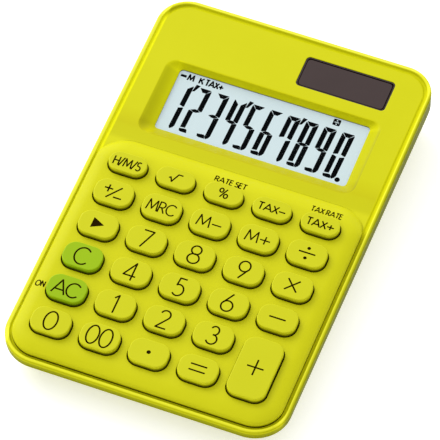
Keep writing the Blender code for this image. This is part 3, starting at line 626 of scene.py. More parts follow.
# Painted shade darkening each key's side towards its foot, and a painted highlight along its top edge.
KEY_PAINTED_SHADE_AND_HIGHLIGHT = [
    (PAD_Z, (0.16, 0.15, 0.1)), (2.15, (0.3, 0.29, 0.2)), (2.5, (0.52, 0.51, 0.4)),
    (2.8, (1.0, 1.0, 0.9)), (KEY_TOP_Z - 0.35, (1.18, 1.18, 1.2)),
    (KEY_TOP_Z - 0.04, (1.12, 1.12, 1.2)), (KEY_TOP_Z, PLAIN)
]
paint_light_and_shade(LIME_KEY, UP, KEY_PAINTED_SHADE_AND_HIGHLIGHT)
paint_light_and_shade(GREEN_KEY, UP, KEY_PAINTED_SHADE_AND_HIGHLIGHT)
GAP_SHADE = surface("gap_shade", (0.085, 0.076, 0.001), (0.073, 0.065, 0.001), 0.6, 5200.0, 1e-5,
                    specular=0.03)
INK = surface("legend_ink", (0.018, 0.01, 0.0008), (0.014, 0.007, 0.0006), 0.55, 9000.0, 2e-6, specular=0.0)
RUBBER = surface("foot_rubber", (0.03, 0.03, 0.029), (0.018, 0.018, 0.018), 0.75, 4000.0, 4e-5)
STEEL = surface("screw_steel", (0.6, 0.6, 0.58), (0.5, 0.5, 0.49), 0.34, 3000.0, 6e-6, uneven=0.08,
                metallic=1.0)
LCD_FACE = surface("lcd_face_painted_glow", (0.233, 0.275, 0.285), (0.226, 0.268, 0.279), 0.55, 8000.0, 4e-6, mottle=25.0,
                   specular=0.1)
# Painted light: the display's face glows a little, with its colour lowered to match, so it stays evenly
# bright in its recess.
glowing(LCD_FACE, (0.8, 0.945, 0.98), 0.5)
LCD_INK = surface("lcd_ink", (0.0015, 0.002, 0.0025), (0.001, 0.0015, 0.002), 0.5, 9000.0, 2e-6,
                  specular=0.01)
SEAL = surface("window_seal", (0.06, 0.048, 0.05), (0.045, 0.036, 0.04), 0.6, 5000.0, 1e-5, specular=0.2)
WINDOW = clear_window("clear_window", 1.05)
BORDER_INK = surface("border_ink", (0.006, 0.0022, 0.002), (0.004, 0.0016, 0.0014), 0.6, 5000.0, 1e-6,
                     specular=0.0)
SMOKED = surface("smoked_window", (0.055, 0.038, 0.037), (0.051, 0.035, 0.034), 0.22, 4000.0, 1e-6,
                 specular=0.12)


# ---- lettering

GLYPHS = {  # width, and strokes on a line 1 high
    "0": (0.6, [arc(0.3, 0.5, 0.3, 0.5, 90, 450, 40)]),
    "1": (0.18, [[(0, 0.81), (0.18, 1), (0.18, 0)]]),
    "2": (0.51, [arc(0.25, 0.745, 0.235, 0.255, 165, -38, 20) + [(0, 0), (0.51, 0)]]),
    "3": (0.48, [arc(0.225, 0.76, 0.2, 0.24, 155, -88, 20) + arc(0.225, 0.27, 0.255, 0.27, 88, -155, 22)]),
    "4": (0.6, [[(0.425, 0), (0.425, 1), (0, 0.255), (0.6, 0.255)]]),
    "5": (0.49, [[(0.46, 1), (0.115, 1), (0.075, 0.585)]
                 + arc(0.215, 0.32, 0.275, 0.32, 118, -140, 26)]),
    "6": (0.56, [[(0.395, 1), (0.045, 0.43)], arc(0.28, 0.29, 0.28, 0.29, 150, 510, 40)]),
    "7": (0.5, [[(0, 1), (0.5, 1), (0.105, 0)]]),
    "8": (0.56, [arc(0.28, 0.76, 0.235, 0.24, 90, 450, 36), arc(0.28, 0.27, 0.28, 0.27, 90, 450, 40)]),
    "9": (0.56, [[(0.165, 0), (0.515, 0.57)], arc(0.28, 0.71, 0.28, 0.29, -30, 330, 40)]),
    "A": (0.8, [[(0, 0), (0.4, 1), (0.8, 0)], [(0.135, 0.3), (0.665, 0.3)]]),
    "C": (0.74, [arc(0.425, 0.5, 0.425, 0.5, 43, 317, 36)]),
    "E": (0.42, [[(0.42, 1), (0, 1), (0, 0), (0.42, 0)], [(0.03, 0.52), (0.38, 0.52)]]),
    "H": (0.58, [[(0, 0), (0, 1)], [(0.58, 0), (0.58, 1)], [(0.03, 0.52), (0.55, 0.52)]]),
    "K": (0.52, [[(0, 0), (0, 1)], [(0.5, 1), (0.02, 0.46)], [(0.18, 0.62), (0.52, 0)]]),
    "M": (0.88, [[(0, 0), (0.12, 1), (0.44, 0.16), (0.76, 1), (0.88, 0)]]),
    "N": (0.66, [[(0, 0), (0, 1), (0.66, 0), (0.66, 1)]]),
    "O": (0.96, [arc(0.48, 0.5, 0.48, 0.5, 90, 450, 40)]),
    "R": (0.52, [[(0, 0), (0, 1), (0.2, 1)] + arc(0.22, 0.74, 0.25, 0.26, 88, -88, 18)
                 + [(0.03, 0.48)], [(0.22, 0.48), (0.52, 0)]]),
    "S": (0.46, [arc(0.24, 0.75, 0.2, 0.25, 40, 235, 18) + arc(0.22, 0.265, 0.235, 0.265, 60, -150, 20)]),
    "T": (0.54, [[(0, 1), (0.54, 1)], [(0.27, 0.97), (0.27, 0)]]),
    "X": (0.58, [[(0, 0), (0.56, 1)], [(0.02, 1), (0.58, 0)]]),
    "/": (0.4, [[(0, -0.06), (0.4, 1.06)]]),
    "+": (0.72, [[(0, 0.44), (0.72, 0.44)], [(0.36, 0.08), (0.36, 0.42)], [(0.36, 0.46), (0.36, 0.8)]]),
    "-": (0.66, [[(0, 0.42), (0.66, 0.42)]]),
    "%": (0.86, [arc(0.17, 0.77, 0.17, 0.23, 90, 450, 24), arc(0.69, 0.23, 0.17, 0.23, 90, 450, 24),
                 [(0.66, 1), (0.2, 0)]]),
    " ": (0.16, []),
}
SIGNS = {  # strokes in a square from -1 to 1
    "root": [[(-1, -0.25), (-0.72, 0), (-0.38, -1), (0.28, 1), (1, 1)]],
    "sign": [[(-1, 0.43), (-0.14, 0.43)], [(-0.57, 1), (-0.57, 0.48)], [(-0.57, 0.38), (-0.57, -0.14)],
             [(-0.52, -1), (0.68, 1)], [(0.17, -0.7), (1, -0.7)]],
    "divide": [[(-1, 0.06), (1, 0.06)]],
    "times": [[(-1, -1), (1, 1)], [(-1, 1), (-0.07, 0.07)], [(0.07, -0.07), (1, -1)]],
    "minus": [[(-1, 0), (1, 0)]],
    "plus": [[(-1, 0), (1, 0)], [(0, 0.07), (0, 1)], [(0, -0.07), (0, -1)]],
    "equals": [[(-1, 1), (1, 1)], [(-1, -1), (1, -1)]],
    "point": [],
}
LETTER_GAP = {"00": 0.1, "MRC": 0.11, "H/M/S": 0.09, "AC": 0.02, "TAX+": 0.08, "TAX-": 0.08, "ON": 0.22}
USUAL_GAP = 0.14


def fit(lines, box, x0, x1, y0, y1):
    """Strokes moved from the rectangle x0..x1, y0..y1 to a box."""
    left, right, bottom, top = box
    wide, high = (right - left) / (x1 - x0), (top - bottom) / (y1 - y0)
    return [[(left + (x - x0) * wide, bottom + (y - y0) * high) for x, y in line] for line in lines]


def lettering(words, box):
    """Strokes for a word, scaled to fill a box."""
    if words in SIGNS:
        return fit(SIGNS[words], box, -1.0, 1.0, -1.0, 1.0)
    lines = []
    advance = 0.0
    gap = LETTER_GAP.get(words, USUAL_GAP)
    for letter in words:
        width, strokes = GLYPHS[letter]
        lines += [[(x + advance, y) for x, y in line] for line in strokes]
        advance += width + gap
    return fit(lines, box, 0.0, advance - gap, 0.0, 1.0)


# ---- upper case

PAD_FOOT_DIP = 0.35  # how far the keypad's foot dips, over the first share of its slope
PAD_FOOT_SHARE = 0.12
PAD_SLOPE = (0.0, 0.02, 0.045, 0.08, 0.12, 0.18, 0.25, 0.33, 0.42, 0.52, 0.64, 0.78, 0.9, 1.0)
BEZEL_SLOPE = (0.0, 0.03, 0.07, 0.12, 0.3, 0.6, 0.85, 1.0)
BEZEL_EDGE = 0.14  # how far the bezel's upper edge is rounded off, over the first share of its slope
BEZEL_EDGE_SHARE = 0.12
BEAD_OUTER = 0.6  # radii of the rim's bead
BEAD_INNER = 0.66


def key_centre(name, column, row):
    x = (column - 2) * COLUMN_PITCH
    y = SMALL_ROW_Y if row == SMALL_ROW else FIRST_ROW_Y + row * ROW_PITCH
    return (x, y + ROW_PITCH / 2) if name == TALL_KEY else (x, y)


def key_outline(name, row, x=0.0, y=0.0):
    width, depth = SMALL_KEY_SIZE if row == SMALL_ROW else KEY_SIZE
    if name == TALL_KEY:
        depth += ROW_PITCH
    corner = min(KEY_CORNER, depth / 2 - 0.05)
    return rounded(x - width / 2, x + width / 2, y - depth / 2, y + depth / 2, corner, steps=10)


def pad_outline(t):
    half = WIDTH / 2 - PAD_INSET - PAD_SIDE_RUN * t
    front = PAD_CORNER_FRONT + (PAD_TOP_CORNER - PAD_CORNER_FRONT) * t
    back = PAD_CORNER_BACK + (PAD_TOP_CORNER - PAD_CORNER_BACK) * t
    near, far = PAD_INSET + PAD_FRONT_RUN * t, PAD_BACK_Y - PAD_BACK_RUN * t
    return rounded(CASE_X - half, CASE_X + half, near, far, front, back)


def pad_ring(t):
    """One ring of the raised keypad's surface, from its foot at 0 to the edge of its flat top at 1."""
    ring = []
    for x, y, angle in pad_outline(t):
        facing_back = max(0.0, math.sin(angle))
        share = facing_back * facing_back * (3 - 2 * facing_back)
        drop = PAD_EDGE_DROP + (PAD_BACK_DROP - PAD_EDGE_DROP) * share
        edge = PAD_FOOT_DIP * (1 - share) * max(0.0, 1 - t / PAD_FOOT_SHARE) ** 2
        ring.append((x, y, PAD_Z - drop * (1 - t) ** 2 - edge))
    return ring


def opening(shape, outline, top_z, radius, wall_z, margin):
    """A hole with a soft edge.

    Returns the ring the face around it joins, and the ring at the bottom of its wall.
    """
    edge = [(radius + out, top_z - radius + up) for out, up in bow(radius, 90, 180, 3)]
    rings = shape.rings(outline, [(radius + margin, top_z)] + edge + [(0.0, wall_z)])
    shape.skin(rings[:-1])
    shape.skin(rings[-2:], SHADE)
    return rings[0], rings[-1]


def lcd_floor(offset=0.0):
    return lambda x, y: LCD_CENTRE[2] + (y - LCD_CENTRE[1]) * math.tan(LCD_TILT) + offset


def bezel(shape):
    """The sloped opening over the display, and the skirt around it under the panel."""
    half_x, half_y = LCD_SIZE[0] / 2, LCD_SIZE[1] / 2
    x, y = LCD_CENTRE[:2]
    floor = rounded(x - half_x, x + half_x, y - half_y, y + half_y, LCD_CORNER)
    mouth = rounded(BEZEL_LEFT, BEZEL_RIGHT, BEZEL_FRONT_Y, BEZEL_BACK_Y, BEZEL_CORNER)
    top = grown(mouth, 0.0, PANEL_Z)
    low = grown(floor, 0.0, lcd_floor(LCD_LIP))
    rings = [grown(mouth, 0.55, PANEL_Z), grown(mouth, 0.35, PANEL_Z)]
    for share in BEZEL_SLOPE:
        soften = BEZEL_EDGE * max(0.0, 1 - share / BEZEL_EDGE_SHARE) ** 2 * (1.0 if share else 0.6)
        rings.append([(a[0] + (b[0] - a[0]) * share, a[1] + (b[1] - a[1]) * share,
                       a[2] + (b[2] - a[2]) * share - soften) for a, b in zip(top, low)])
    rings += [grown(floor, 0.0, lcd_floor()), grown(floor, SKIRT, lcd_floor())]
    rings.append(grown(mouth, SKIRT, PANEL_UNDERSIDE_Z))
    made = [shape.ring(points) for points in rings]
    shape.skin(made[:2])
    shape.skin(made[1:-3], SLOPE)
    shape.skin(made[-4:])
    return made[0], made[-1]


def rim_profile():
    """Inset and height from the seam up the wall, over the bead, through the groove and on to the panel."""
    profile = [(0.3, parting(0.0)), (0.1, parting(0.03)), (0.02, parting(0.12)), (0.0, parting(0.3))]
    profile.append((0.0, -BEAD_OUTER))
    profile += [(BEAD_OUTER + out, up - BEAD_OUTER) for out, up in bow(BEAD_OUTER, 180, 90, 8)[1:]]
    profile += [(BEAD_INNER + out, up - BEAD_INNER) for out, up in bow(BEAD_INNER, 90, 0, 6)]
    profile += [(1.38, -0.72), (1.5, -0.76), (1.92, -0.76), (2.04, -0.72), (2.13, -0.62), (2.23, -0.53)]
    return profile + [(2.36, PANEL_Z), (PANEL_INSET, PANEL_Z)]


def make_upper_case():
    shape = Shape(DECK)
    rings = [shape.ring(grown(case_outline(inset), 0.0, z)) for inset, z in rim_profile()]
    shape.skin(rings, RIM)
    inner = shape.rings(case_outline(WALL), [(0.0, parting(0.0)), (0.0, PANEL_UNDERSIDE_Z)])
    shape.skin([rings[0], inner[0], inner[1]])
    mouth, skirt = bezel(shape)
    window = rounded(*SOLAR_X, *SOLAR_Y, SOLAR_CORNER, steps=10)
    solar_top, solar_bottom = opening(shape, window, PANEL_Z, 0.15, PANEL_UNDERSIDE_Z, 0.12)
    crossing = math.asin((PAD_MEETS_PANEL_Y - PAD_BACK_Y + PAD_CORNER_BACK) / PAD_CORNER_BACK)
    first, last = crossing + 0.03, math.pi - crossing - 0.03
    foot = [(x, y, PANEL_Z) for x, y, angle in pad_outline(0.0) if first < angle < last]
    right = STEPS + 1  # the rim's points where the keypad's foot crosses it
    left = 3 * (STEPS + 1) + 1
    shape.plate([rings[-1][right:left + 1] + shape.ring(foot[::-1]), mouth, solar_top])
    pad = [shape.ring([(x, y, min(top, z - 0.03)) for x, y, z in pad_ring(0.0)])
           for top in (PANEL_Z - 0.6, PAD_SHADE_Z)]
    shape.skin(pad, SHADE)
    pad = pad[1:] + [shape.ring(pad_ring(t)) for t in PAD_SLOPE]
    shape.skin(pad)
    tops, bottoms = [pad[-1]], []
    for name, column, row, _, _ in KEYS:
        outline = key_outline(name, row, *key_centre(name, column, row))
        hole = [(x + HOLE_GAP * math.cos(a), y + HOLE_GAP * math.sin(a), a) for x, y, a in outline]
        top, bottom = opening(shape, hole, PAD_Z, 0.12, PAD_UNDERSIDE_Z, 0.08)
        tops.append(top)
        bottoms.append(bottom)
    shape.plate(tops)
    half = WIDTH / 2 - PAD_CAVITY_INSET
    cavity = rounded(CASE_X - half, CASE_X + half, PAD_CAVITY_INSET, PAD_CAVITY_BACK_Y, PAD_CAVITY_CORNER)
    cavity = shape.rings(cavity, [(0.0, PANEL_UNDERSIDE_Z), (0.0, PAD_UNDERSIDE_Z)])
    shape.skin(cavity)
    shape.plate([cavity[1]] + bottoms, up=False)
    shape.plate([inner[1], cavity[0], skirt, solar_bottom], up=False)
    height = shape.heights()
    for words, box in CAPTIONS:
        for line in lettering(words, box):
            shape.stroke(line, CAPTION_STROKE, height)
    shape.make("upper_case_shell", [LIME, INK, GAP_SHADE, LIME_RIM_PAINTED_LIGHT, LIME_SLOPE_PAINTED_LIGHT], replaces=["upper_case"])


# ---- keys

def make_key(name, column, row, words, box):
    shape = Shape(DECK @ Matrix.Translation((*key_centre(name, column, row), 0)))
    outline = key_outline(name, row)
    skirt = shape.rings(outline, [(FLANGE, FLANGE_BOTTOM_Z), (FLANGE, FLANGE_TOP_Z), (0.0, FLANGE_TOP_Z),
                                  (-0.02, PAD_Z + 0.05)])
    inset, shoulder = -0.05 - KEY_FILLET, KEY_TOP_Z - KEY_FILLET
    edge = [(inset + out, shoulder + up) for out, up in bow(KEY_FILLET, 0, 90, 5)]
    edge = [(-0.03, shoulder - 0.15)] + edge + [(inset - 0.12, KEY_TOP_Z)]
    rings = skirt[-1:] + shape.rings(outline, edge)
    shape.skin(skirt, SHADE)
    shape.skin(rings)
    depth = max(y for _, y, _ in outline) - min(y for _, y, _ in outline)
    hollow = circle(0.0, 0.0, DOME_SHARE * min(DOME_RADIUS, depth / 2 - GAP) + GAP, 20)
    hollow = shape.rings(hollow, [(0.0, FLANGE_BOTTOM_Z + KEY_TRAVEL), (0.0, FLANGE_BOTTOM_Z)])
    shape.skin(hollow, SHADE)
    shape.cap(hollow[0], SHADE, down=True)
    shape.plate([skirt[0], hollow[1]], SHADE, up=False)
    shape.cap(rings[-1])
    z = KEY_TOP_Z + INK_LIFT
    left, right, bottom, top = box
    x, y = (left + right) / 2, (bottom + top) / 2
    if words == "arrow":
        shape.cap(shape.ring([(left, bottom, z), (right, y, z), (left, top, z)]), PRINT)
    else:
        small = top - bottom < SMALL_LEGEND_HEIGHT and words not in BOLD_SIGNS
        for line in lettering(words, box):
            shape.stroke(line, SMALL_LEGEND_STROKE if small else LEGEND_STROKE, z)
    if words == "divide":
        shape.disc(x, top, DIVIDE_DOT, z)
        shape.disc(x, bottom, DIVIDE_DOT, z)
    if words == "point":
        shape.disc(x, y, (right - left) / 2, z)
    green = name in GREEN_KEYS
    shape.make(name + "_cap", [GREEN_KEY if green else LIME_KEY, INK, GAP_SHADE], body=name, replaces=[name])


# ---- display

DIGIT = (3.65, 15.3)
DIGIT_PITCH = 5.22
LCD_X, LCD_Y = 0.466, 94.304  # the deck point that shows at the middle of the display
DIGIT_SLANT = math.tan(math.radians(2.0))
DIGIT_LEFT = -26.15 - LCD_X  # the first digit's lower left corner, from the middle of the display
DIGIT_BOTTOM = 85.75 - LCD_Y
LIT = {"0": "abcdef", "1": "bc", "2": "abdeg", "3": "abcdg", "4": "bcfg", "5": "acdfg", "6": "acdefg",
       "7": "abcf", "8": "abcdefg", "9": "abcdfg"}
COMMA_AFTER = "147"
POINT = (25.2 - LCD_X, 86.0 - LCD_Y, 0.75)  # the decimal point's middle and radius
LCD_SIGNS = [  # small signs at the display's upper left: words, stroke, and left, right, bottom and top
    ("-", 0.8, (-26.8, -25.1, 102.1, 104.6)),
    ("M", 0.48, (-24.6, -22.9, 102.2, 104.1)),
    ("K", 0.48, (-21.2, -20.1, 102.2, 104.1)),
    ("TAX+", 0.48, (-19.5, -14.3, 102.2, 104.1)),
]
ICON = (18.75 - LCD_X, 103.35 - LCD_Y, 1.05)  # the small square sign's middle and half its side
ICON_BAR = (0.65, 0.12)
ICON_DOT = (0.58, 0.2)  # how far from the middle, and the radius


def segments():
    """The seven segments of a digit, as outlines on its own box."""
    w, h = DIGIT
    s, t, m, g = 1.42, 1.46, h / 2, 0.1
    return {
        "a": [(0.16, h), (w - 0.16, h), (w - s + 0.12, h - t + 0.1), (s - 0.12, h - t + 0.1)],
        "b": [(w - 0.12, h - 0.22), (w, h - 0.75), (w, m + 0.32), (w - 0.25, m + g), (w - s, m + 0.52),
              (w - s, h - t - 0.1)],
        "c": [(w, m - 0.32), (w, 1.2), (w - 0.32, 0.5), (w - 0.9, 0.0), (w - s + 0.3, 0.06),
              (w - s, 0.62), (w - s, m - 0.52), (w - 0.25, m - g)],
        "d": [(-0.1, t - 0.42), (0.12, 0.22), (0.7, 0.0), (w - s + 0.14, 0.0), (w - s - g, t - 0.46),
              (w - s - 0.4, t - 0.22), (s - 0.1, t - 0.22)],
        "e": [(0.0, t - 0.04), (s, t + 0.1), (s, m - 0.52), (0.25, m - g), (0.0, m - 0.32)],
        "f": [(0.12, h - 0.22), (s, h - t - 0.1), (s, m + 0.52), (0.25, m + g), (0.0, m + 0.32),
              (0.0, h - 0.75)],
        "g": [(0.4, m), (s + 0.02, m - 0.52), (w - s - 0.02, m - 0.52), (w - 0.4, m),
              (w - s - 0.02, m + 0.52), (s + 0.02, m + 0.52)],
    }


def make_display():
    shape = Shape(LCD)
    glass = box_outline(LCD_GLASS_SIZE, 0.4)
    shape.solid([grown(glass, 0.0, z) for z in LCD_GLASS_Z])
    z = LCD_GLASS_Z[1] + INK_LIFT
    shapes = segments()
    for place, digit in enumerate("1234567890"):
        left = DIGIT_LEFT + place * DIGIT_PITCH
        for name in LIT[digit]:
            line = [(left + x + y * DIGIT_SLANT, DIGIT_BOTTOM + y, z) for x, y in shapes[name]]
            shape.plate([shape.ring(line)], PRINT)
        if digit in COMMA_AFTER:
            left += DIGIT[0] + DIGIT[1] * DIGIT_SLANT
            top = DIGIT_BOTTOM + DIGIT[1]
            shape.plate([shape.ring([(left + 0.42, top + 0.6, z), (left - 0.05, top - 1.95, z),
                                     (left + 0.6, top - 1.7, z), (left + 1.65, top + 0.45, z)])], PRINT)
    shape.disc(*POINT, z)
    for words, width, (x0, x1, y0, y1) in LCD_SIGNS:
        for line in lettering(words, (x0 - LCD_X, x1 - LCD_X, y0 - LCD_Y, y1 - LCD_Y)):
            shape.stroke(line, width, z)
    sign_x, sign_y, half = ICON
    icon = rounded(sign_x - half, sign_x + half, sign_y - half, sign_y + half, 0.3, steps=3)
    icon = shape.ring(grown(icon, 0.0, z))
    long, thin = ICON_BAR
    bar = shape.ring([(sign_x + dx, sign_y + dy, z) for dx, dy in
                      [(-long, -thin), (long, -thin), (long, thin), (-long, thin)]])
    away, radius = ICON_DOT
    dots = [shape.ring(grown(circle(sign_x, sign_y + dy, radius, 10), 0.0, z)) for dy in (-away, away)]
    shape.plate([icon, bar] + dots, PRINT)
    shape.make("lcd_front_glass_face", [LCD_FACE, LCD_INK], replaces=["lcd_front_glass"])

    shape = Shape(LCD)
    pane = box_outline(WINDOW_SIZE, 1.6)
    edge, bottom, top = 0.08, *WINDOW_Z
    shape.solid([grown(pane, out, z) for out, z in
                 [(-edge, bottom), (0.0, bottom + edge), (0.0, top - edge), (-edge, top)]])
    low, high, seal_slot = top + 0.01, -0.02, 2
    seal = shape.rings(box_outline(LCD_SIZE, LCD_CORNER, grow=0.02),
                       [(0.0, low), (0.0, high), (0.9, high), (0.9, low), (0.0, low)])
    shape.skin(seal, seal_slot)
    shape.make("display_window_pane", [WINDOW, INK, SEAL], replaces=["display_window"])


def make_solar():
    shape = Shape(DECK)
    x = [v + s * GAP for v, s in zip(SOLAR_X, (1, -1))]
    y = [v + s * GAP for v, s in zip(SOLAR_Y, (1, -1))]
    bottom, edge, top = -1.7, -0.7, -0.6
    seal_top, seal_width = -0.75, 0.26
    seal_slot, border_slot = 1, 2
    pane = rounded(*x, *y, SOLAR_CORNER - GAP, steps=10)
    shape.solid([grown(pane, 0.0, bottom), grown(pane, 0.0, edge), grown(pane, -0.1, top)])
    seal = shape.rings(pane, [(seal_width, bottom), (seal_width, seal_top), (0.0, seal_top), (0.0, bottom),
                              (seal_width, bottom)])
    shape.skin(seal, seal_slot)
    left, right, front, back = SOLAR_BORDER
    inner = rounded(x[0] + left, x[1] - right, y[0] + front, y[1] - back, SOLAR_CORNER - GAP, steps=10)
    border = [shape.ring(grown(pane, -0.14, top + INK_LIFT)), shape.ring(grown(inner, 0.0, top + INK_LIFT))]
    shape.skin(border, border_slot)
    shape.make("solar_window_pane", [SMOKED, SEAL, BORDER_INK], replaces=["solar_window"])


# ---- lower case and what is in it

def base_outline(inset):
    half = BASE_HALF_WIDTH - inset
    front, back = BASE_FRONT_Y + inset + BASE_START_Y, BASE_BACK_Y - inset + BASE_START_Y
    return rounded(-half, half, front, back, BASE_CORNER - inset, stops=(PAD_MEETS_PANEL_Y + BASE_START_Y,))


def seam_ring(inset, offset):
    return [tuple(DECK @ Vector(p)) for p in grown(case_outline(inset), 0.0, parting(offset))]


def between(low, high, share, bulge):
    """A ring part of the way between two others, pushed outwards from the middle of the base."""
    ring = []
    for a, b in zip(low, high):
        p = Vector(a).lerp(Vector(b), share)
        out = Vector((b[0] - a[0], b[1] - a[1], 0))
        out = out.normalized() if out.length > 1e-6 else out
        ring.append(tuple(p + out * bulge))
    return ring


def well(shape, outline, top_z, radius):
    """A blind recess in the underside, with a soft edge. Returns the ring the underside joins."""
    edge = [(radius + out, BASE_Z + radius + up) for out, up in bow(radius, 270, 180, 3)]
    rings = shape.rings(outline, [(radius + 0.1, BASE_Z)] + edge + [(0.0, top_z - 0.05), (-0.05, top_z)])
    shape.skin(rings)
    shape.cap(rings[-1], down=True)
    return rings[0]


def make_lower_case():
    shape = Shape(LEVEL)
    outline = base_outline(0.0)
    foot = grown(outline, 0.0, BASE_Z + BASE_EDGE)
    top = seam_ring(0.15, -GAP - 0.45)
    rings = [grown(outline, -BASE_EDGE - 0.3, BASE_Z)]
    for out, up in bow(BASE_EDGE, 270, 345, 6):
        rings.append(grown(outline, out - BASE_EDGE, BASE_Z + BASE_EDGE + up))
    shares = (0.08, 0.2, 0.35, 0.5, 0.65, 0.8, 0.92)
    rings += [between(foot, top, share, 3.0 * share * (1 - share) ** 2) for share in shares]
    rings += [top, seam_ring(0.15, -GAP - 0.2), seam_ring(0.25, -GAP - 0.04), seam_ring(0.4, -GAP),
              seam_ring(0.15 + WALL, -GAP), seam_ring(0.15 + WALL, -GAP - 0.8),
              grown(base_outline(1.9), 0.0, BASE_FLOOR_Z)]
    made = [shape.ring(points) for points in rings]
    shape.skin(made)
    shape.plate([made[-1]])
    holes = [made[0]]
    for place in PLACES:
        x, y = node_middle("case_screw_" + place)
        holes.append(well(shape, circle(x, y, WELL_RADIUS), WELL_TOP_Z, 0.25))
        x, y = node_middle("foot_" + place)
        holes.append(well(shape, circle(x, y, FOOT_RADIUS + POCKET_GAP, 64), FOOT_POCKET_TOP_Z, 0.15))
    low, high = node_box("battery_cover")
    door = rounded(low[0] - POCKET_GAP, high[0] + POCKET_GAP,
                   low[1] - POCKET_GAP, high[1] + POCKET_GAP, 1.7, steps=8)
    holes.append(well(shape, door, COVER_POCKET_TOP_Z, 0.15))
    holes.append(well(shape, rounded(*LABEL, 1.2, steps=6), LABEL_TOP_Z, 0.08))
    shape.plate(holes, up=False)
    shape.make("lower_case_shell", [LIME_BASE_PAINTED_SHADE], replaces=["lower_case"])


def make_feet():
    for place in PLACES:
        shape = Shape(LEVEL)
        spot = circle(*node_middle("foot_" + place), FOOT_RADIUS, 64)
        edge = [(out - 0.35, 0.35 + up) for out, up in bow(0.35, 285, 360, 5)]
        profile = [(-0.9, 0.0), (-0.45, 0.0)] + edge + [(0.0, 0.9)]
        shape.solid([grown(spot, out, up) for out, up in profile])
        shape.make("foot_pad_" + place, [RUBBER], replaces=["foot_" + place])


def make_screw(node, head=0.9):
    """A round-headed screw standing on its head, with a cross recess."""
    low, high = node_box(node)
    x, y = node_middle(node)
    z, top = low[2], high[2]
    head_radius, shank = 1.6, 0.7
    shape = Shape(LEVEL)
    spot = circle(x, y, head_radius)
    arm, half, deep = 0.95, 0.19, 0.5
    cross = [(arm, -half), (arm, half), (half, half), (half, arm), (-half, arm), (-half, half), (-arm, half),
             (-arm, -half), (-half, -half), (-half, -arm), (half, -arm), (half, -half)]
    face = shape.ring(grown(spot, -0.42, z))
    mouth = shape.ring([(x + dx, y + dy, z) for dx, dy in cross])
    floor = shape.ring([(x + dx * 0.7, y + dy * 0.7, z + deep) for dx, dy in cross])
    shape.plate([face, mouth], up=False)
    shape.skin([mouth, floor])
    shape.cap(floor, down=True)
    neck = shank - head_radius
    profile = [(out - 0.4, z + 0.4 + up) for out, up in bow(0.4, 275, 360, 5)]
    profile += [(0.0, z + head), (neck, z + head), (neck, top - 0.3), (neck - 0.3, top)]
    rings = [face] + shape.rings(spot, profile)
    shape.skin(rings)
    shape.cap(rings[-1])
    shape.make(node + "_turned", [STEEL], replaces=[node])


def make_battery_cover():
    low, high = node_box("battery_cover")
    z, top = low[2], high[2]
    shape = Shape(LEVEL)
    outline = rounded(low[0], high[0], low[1], high[1], 1.5, steps=8)
    edge = [(out - 0.2, z + 0.2 + up) for out, up in bow(0.2, 270, 360, 4)]
    sides = shape.rings(outline, [(-0.32, z)] + edge + [(0.0, top)])
    shape.skin(sides)
    sink_radius, hole_radius = 1.8, 0.95
    narrow = hole_radius - sink_radius
    sink = shape.rings(circle(*node_middle("battery_cover_screw"), sink_radius),
                       [(0.2, z), (0.06, z + 0.03), (0.0, z + 0.15), (0.0, z + 0.9), (narrow, z + 0.9),
                        (narrow, top)])
    shape.skin(sink)
    holes = [sides[0], sink[0]]
    middle = (low[1] + high[1]) / 2
    for k in range(5):
        y = middle + (k - 2) * 1.4
        line = rounded(low[0] + 2.0, low[0] + 8.0, y - 0.3, y + 0.3, 0.28, steps=4)
        groove = shape.rings(line, [(0.08, z), (0.0, z + 0.03), (-0.05, z + 0.15), (-0.15, z + 0.24)])
        shape.skin(groove)
        shape.cap(groove[-1], down=True)
        holes.append(groove[0])
    shape.plate(holes, up=False)
    shape.plate([sides[-1], sink[-1]])
    shape.make("battery_cover_lid", [LIME_BASE_PAINTED_SHADE], replaces=["battery_cover"])


# ---- what keeps the frame's own shape

SOLAR_STRIP = 0.0065  # metres from one strip of the cell to the next


def solar_cell_material():
    """Dark amorphous silicon in strips, with a fine line between one strip and the next."""
    material, tree, shader = new_material("solar_cell")
    where = add(tree, "ShaderNodeTexCoord")
    wave = add(tree, "ShaderNodeTexWave", Scale=1 / SOLAR_STRIP / 20)
    wave.wave_profile = "TRI"
    link(tree, where, "Object", wave, "Vector")
    line = ramp(tree, wave, "Fac", [(0.0, (0.052, 0.034, 0.032)), (0.04, (0.06, 0.042, 0.041))])
    link(tree, line, "Color", shader, "Base Color")
    uneven_gloss(tree, shader, 300.0, 0.32, 0.4)
    shader.inputs["Specular IOR Level"].default_value = 0.1
    return material


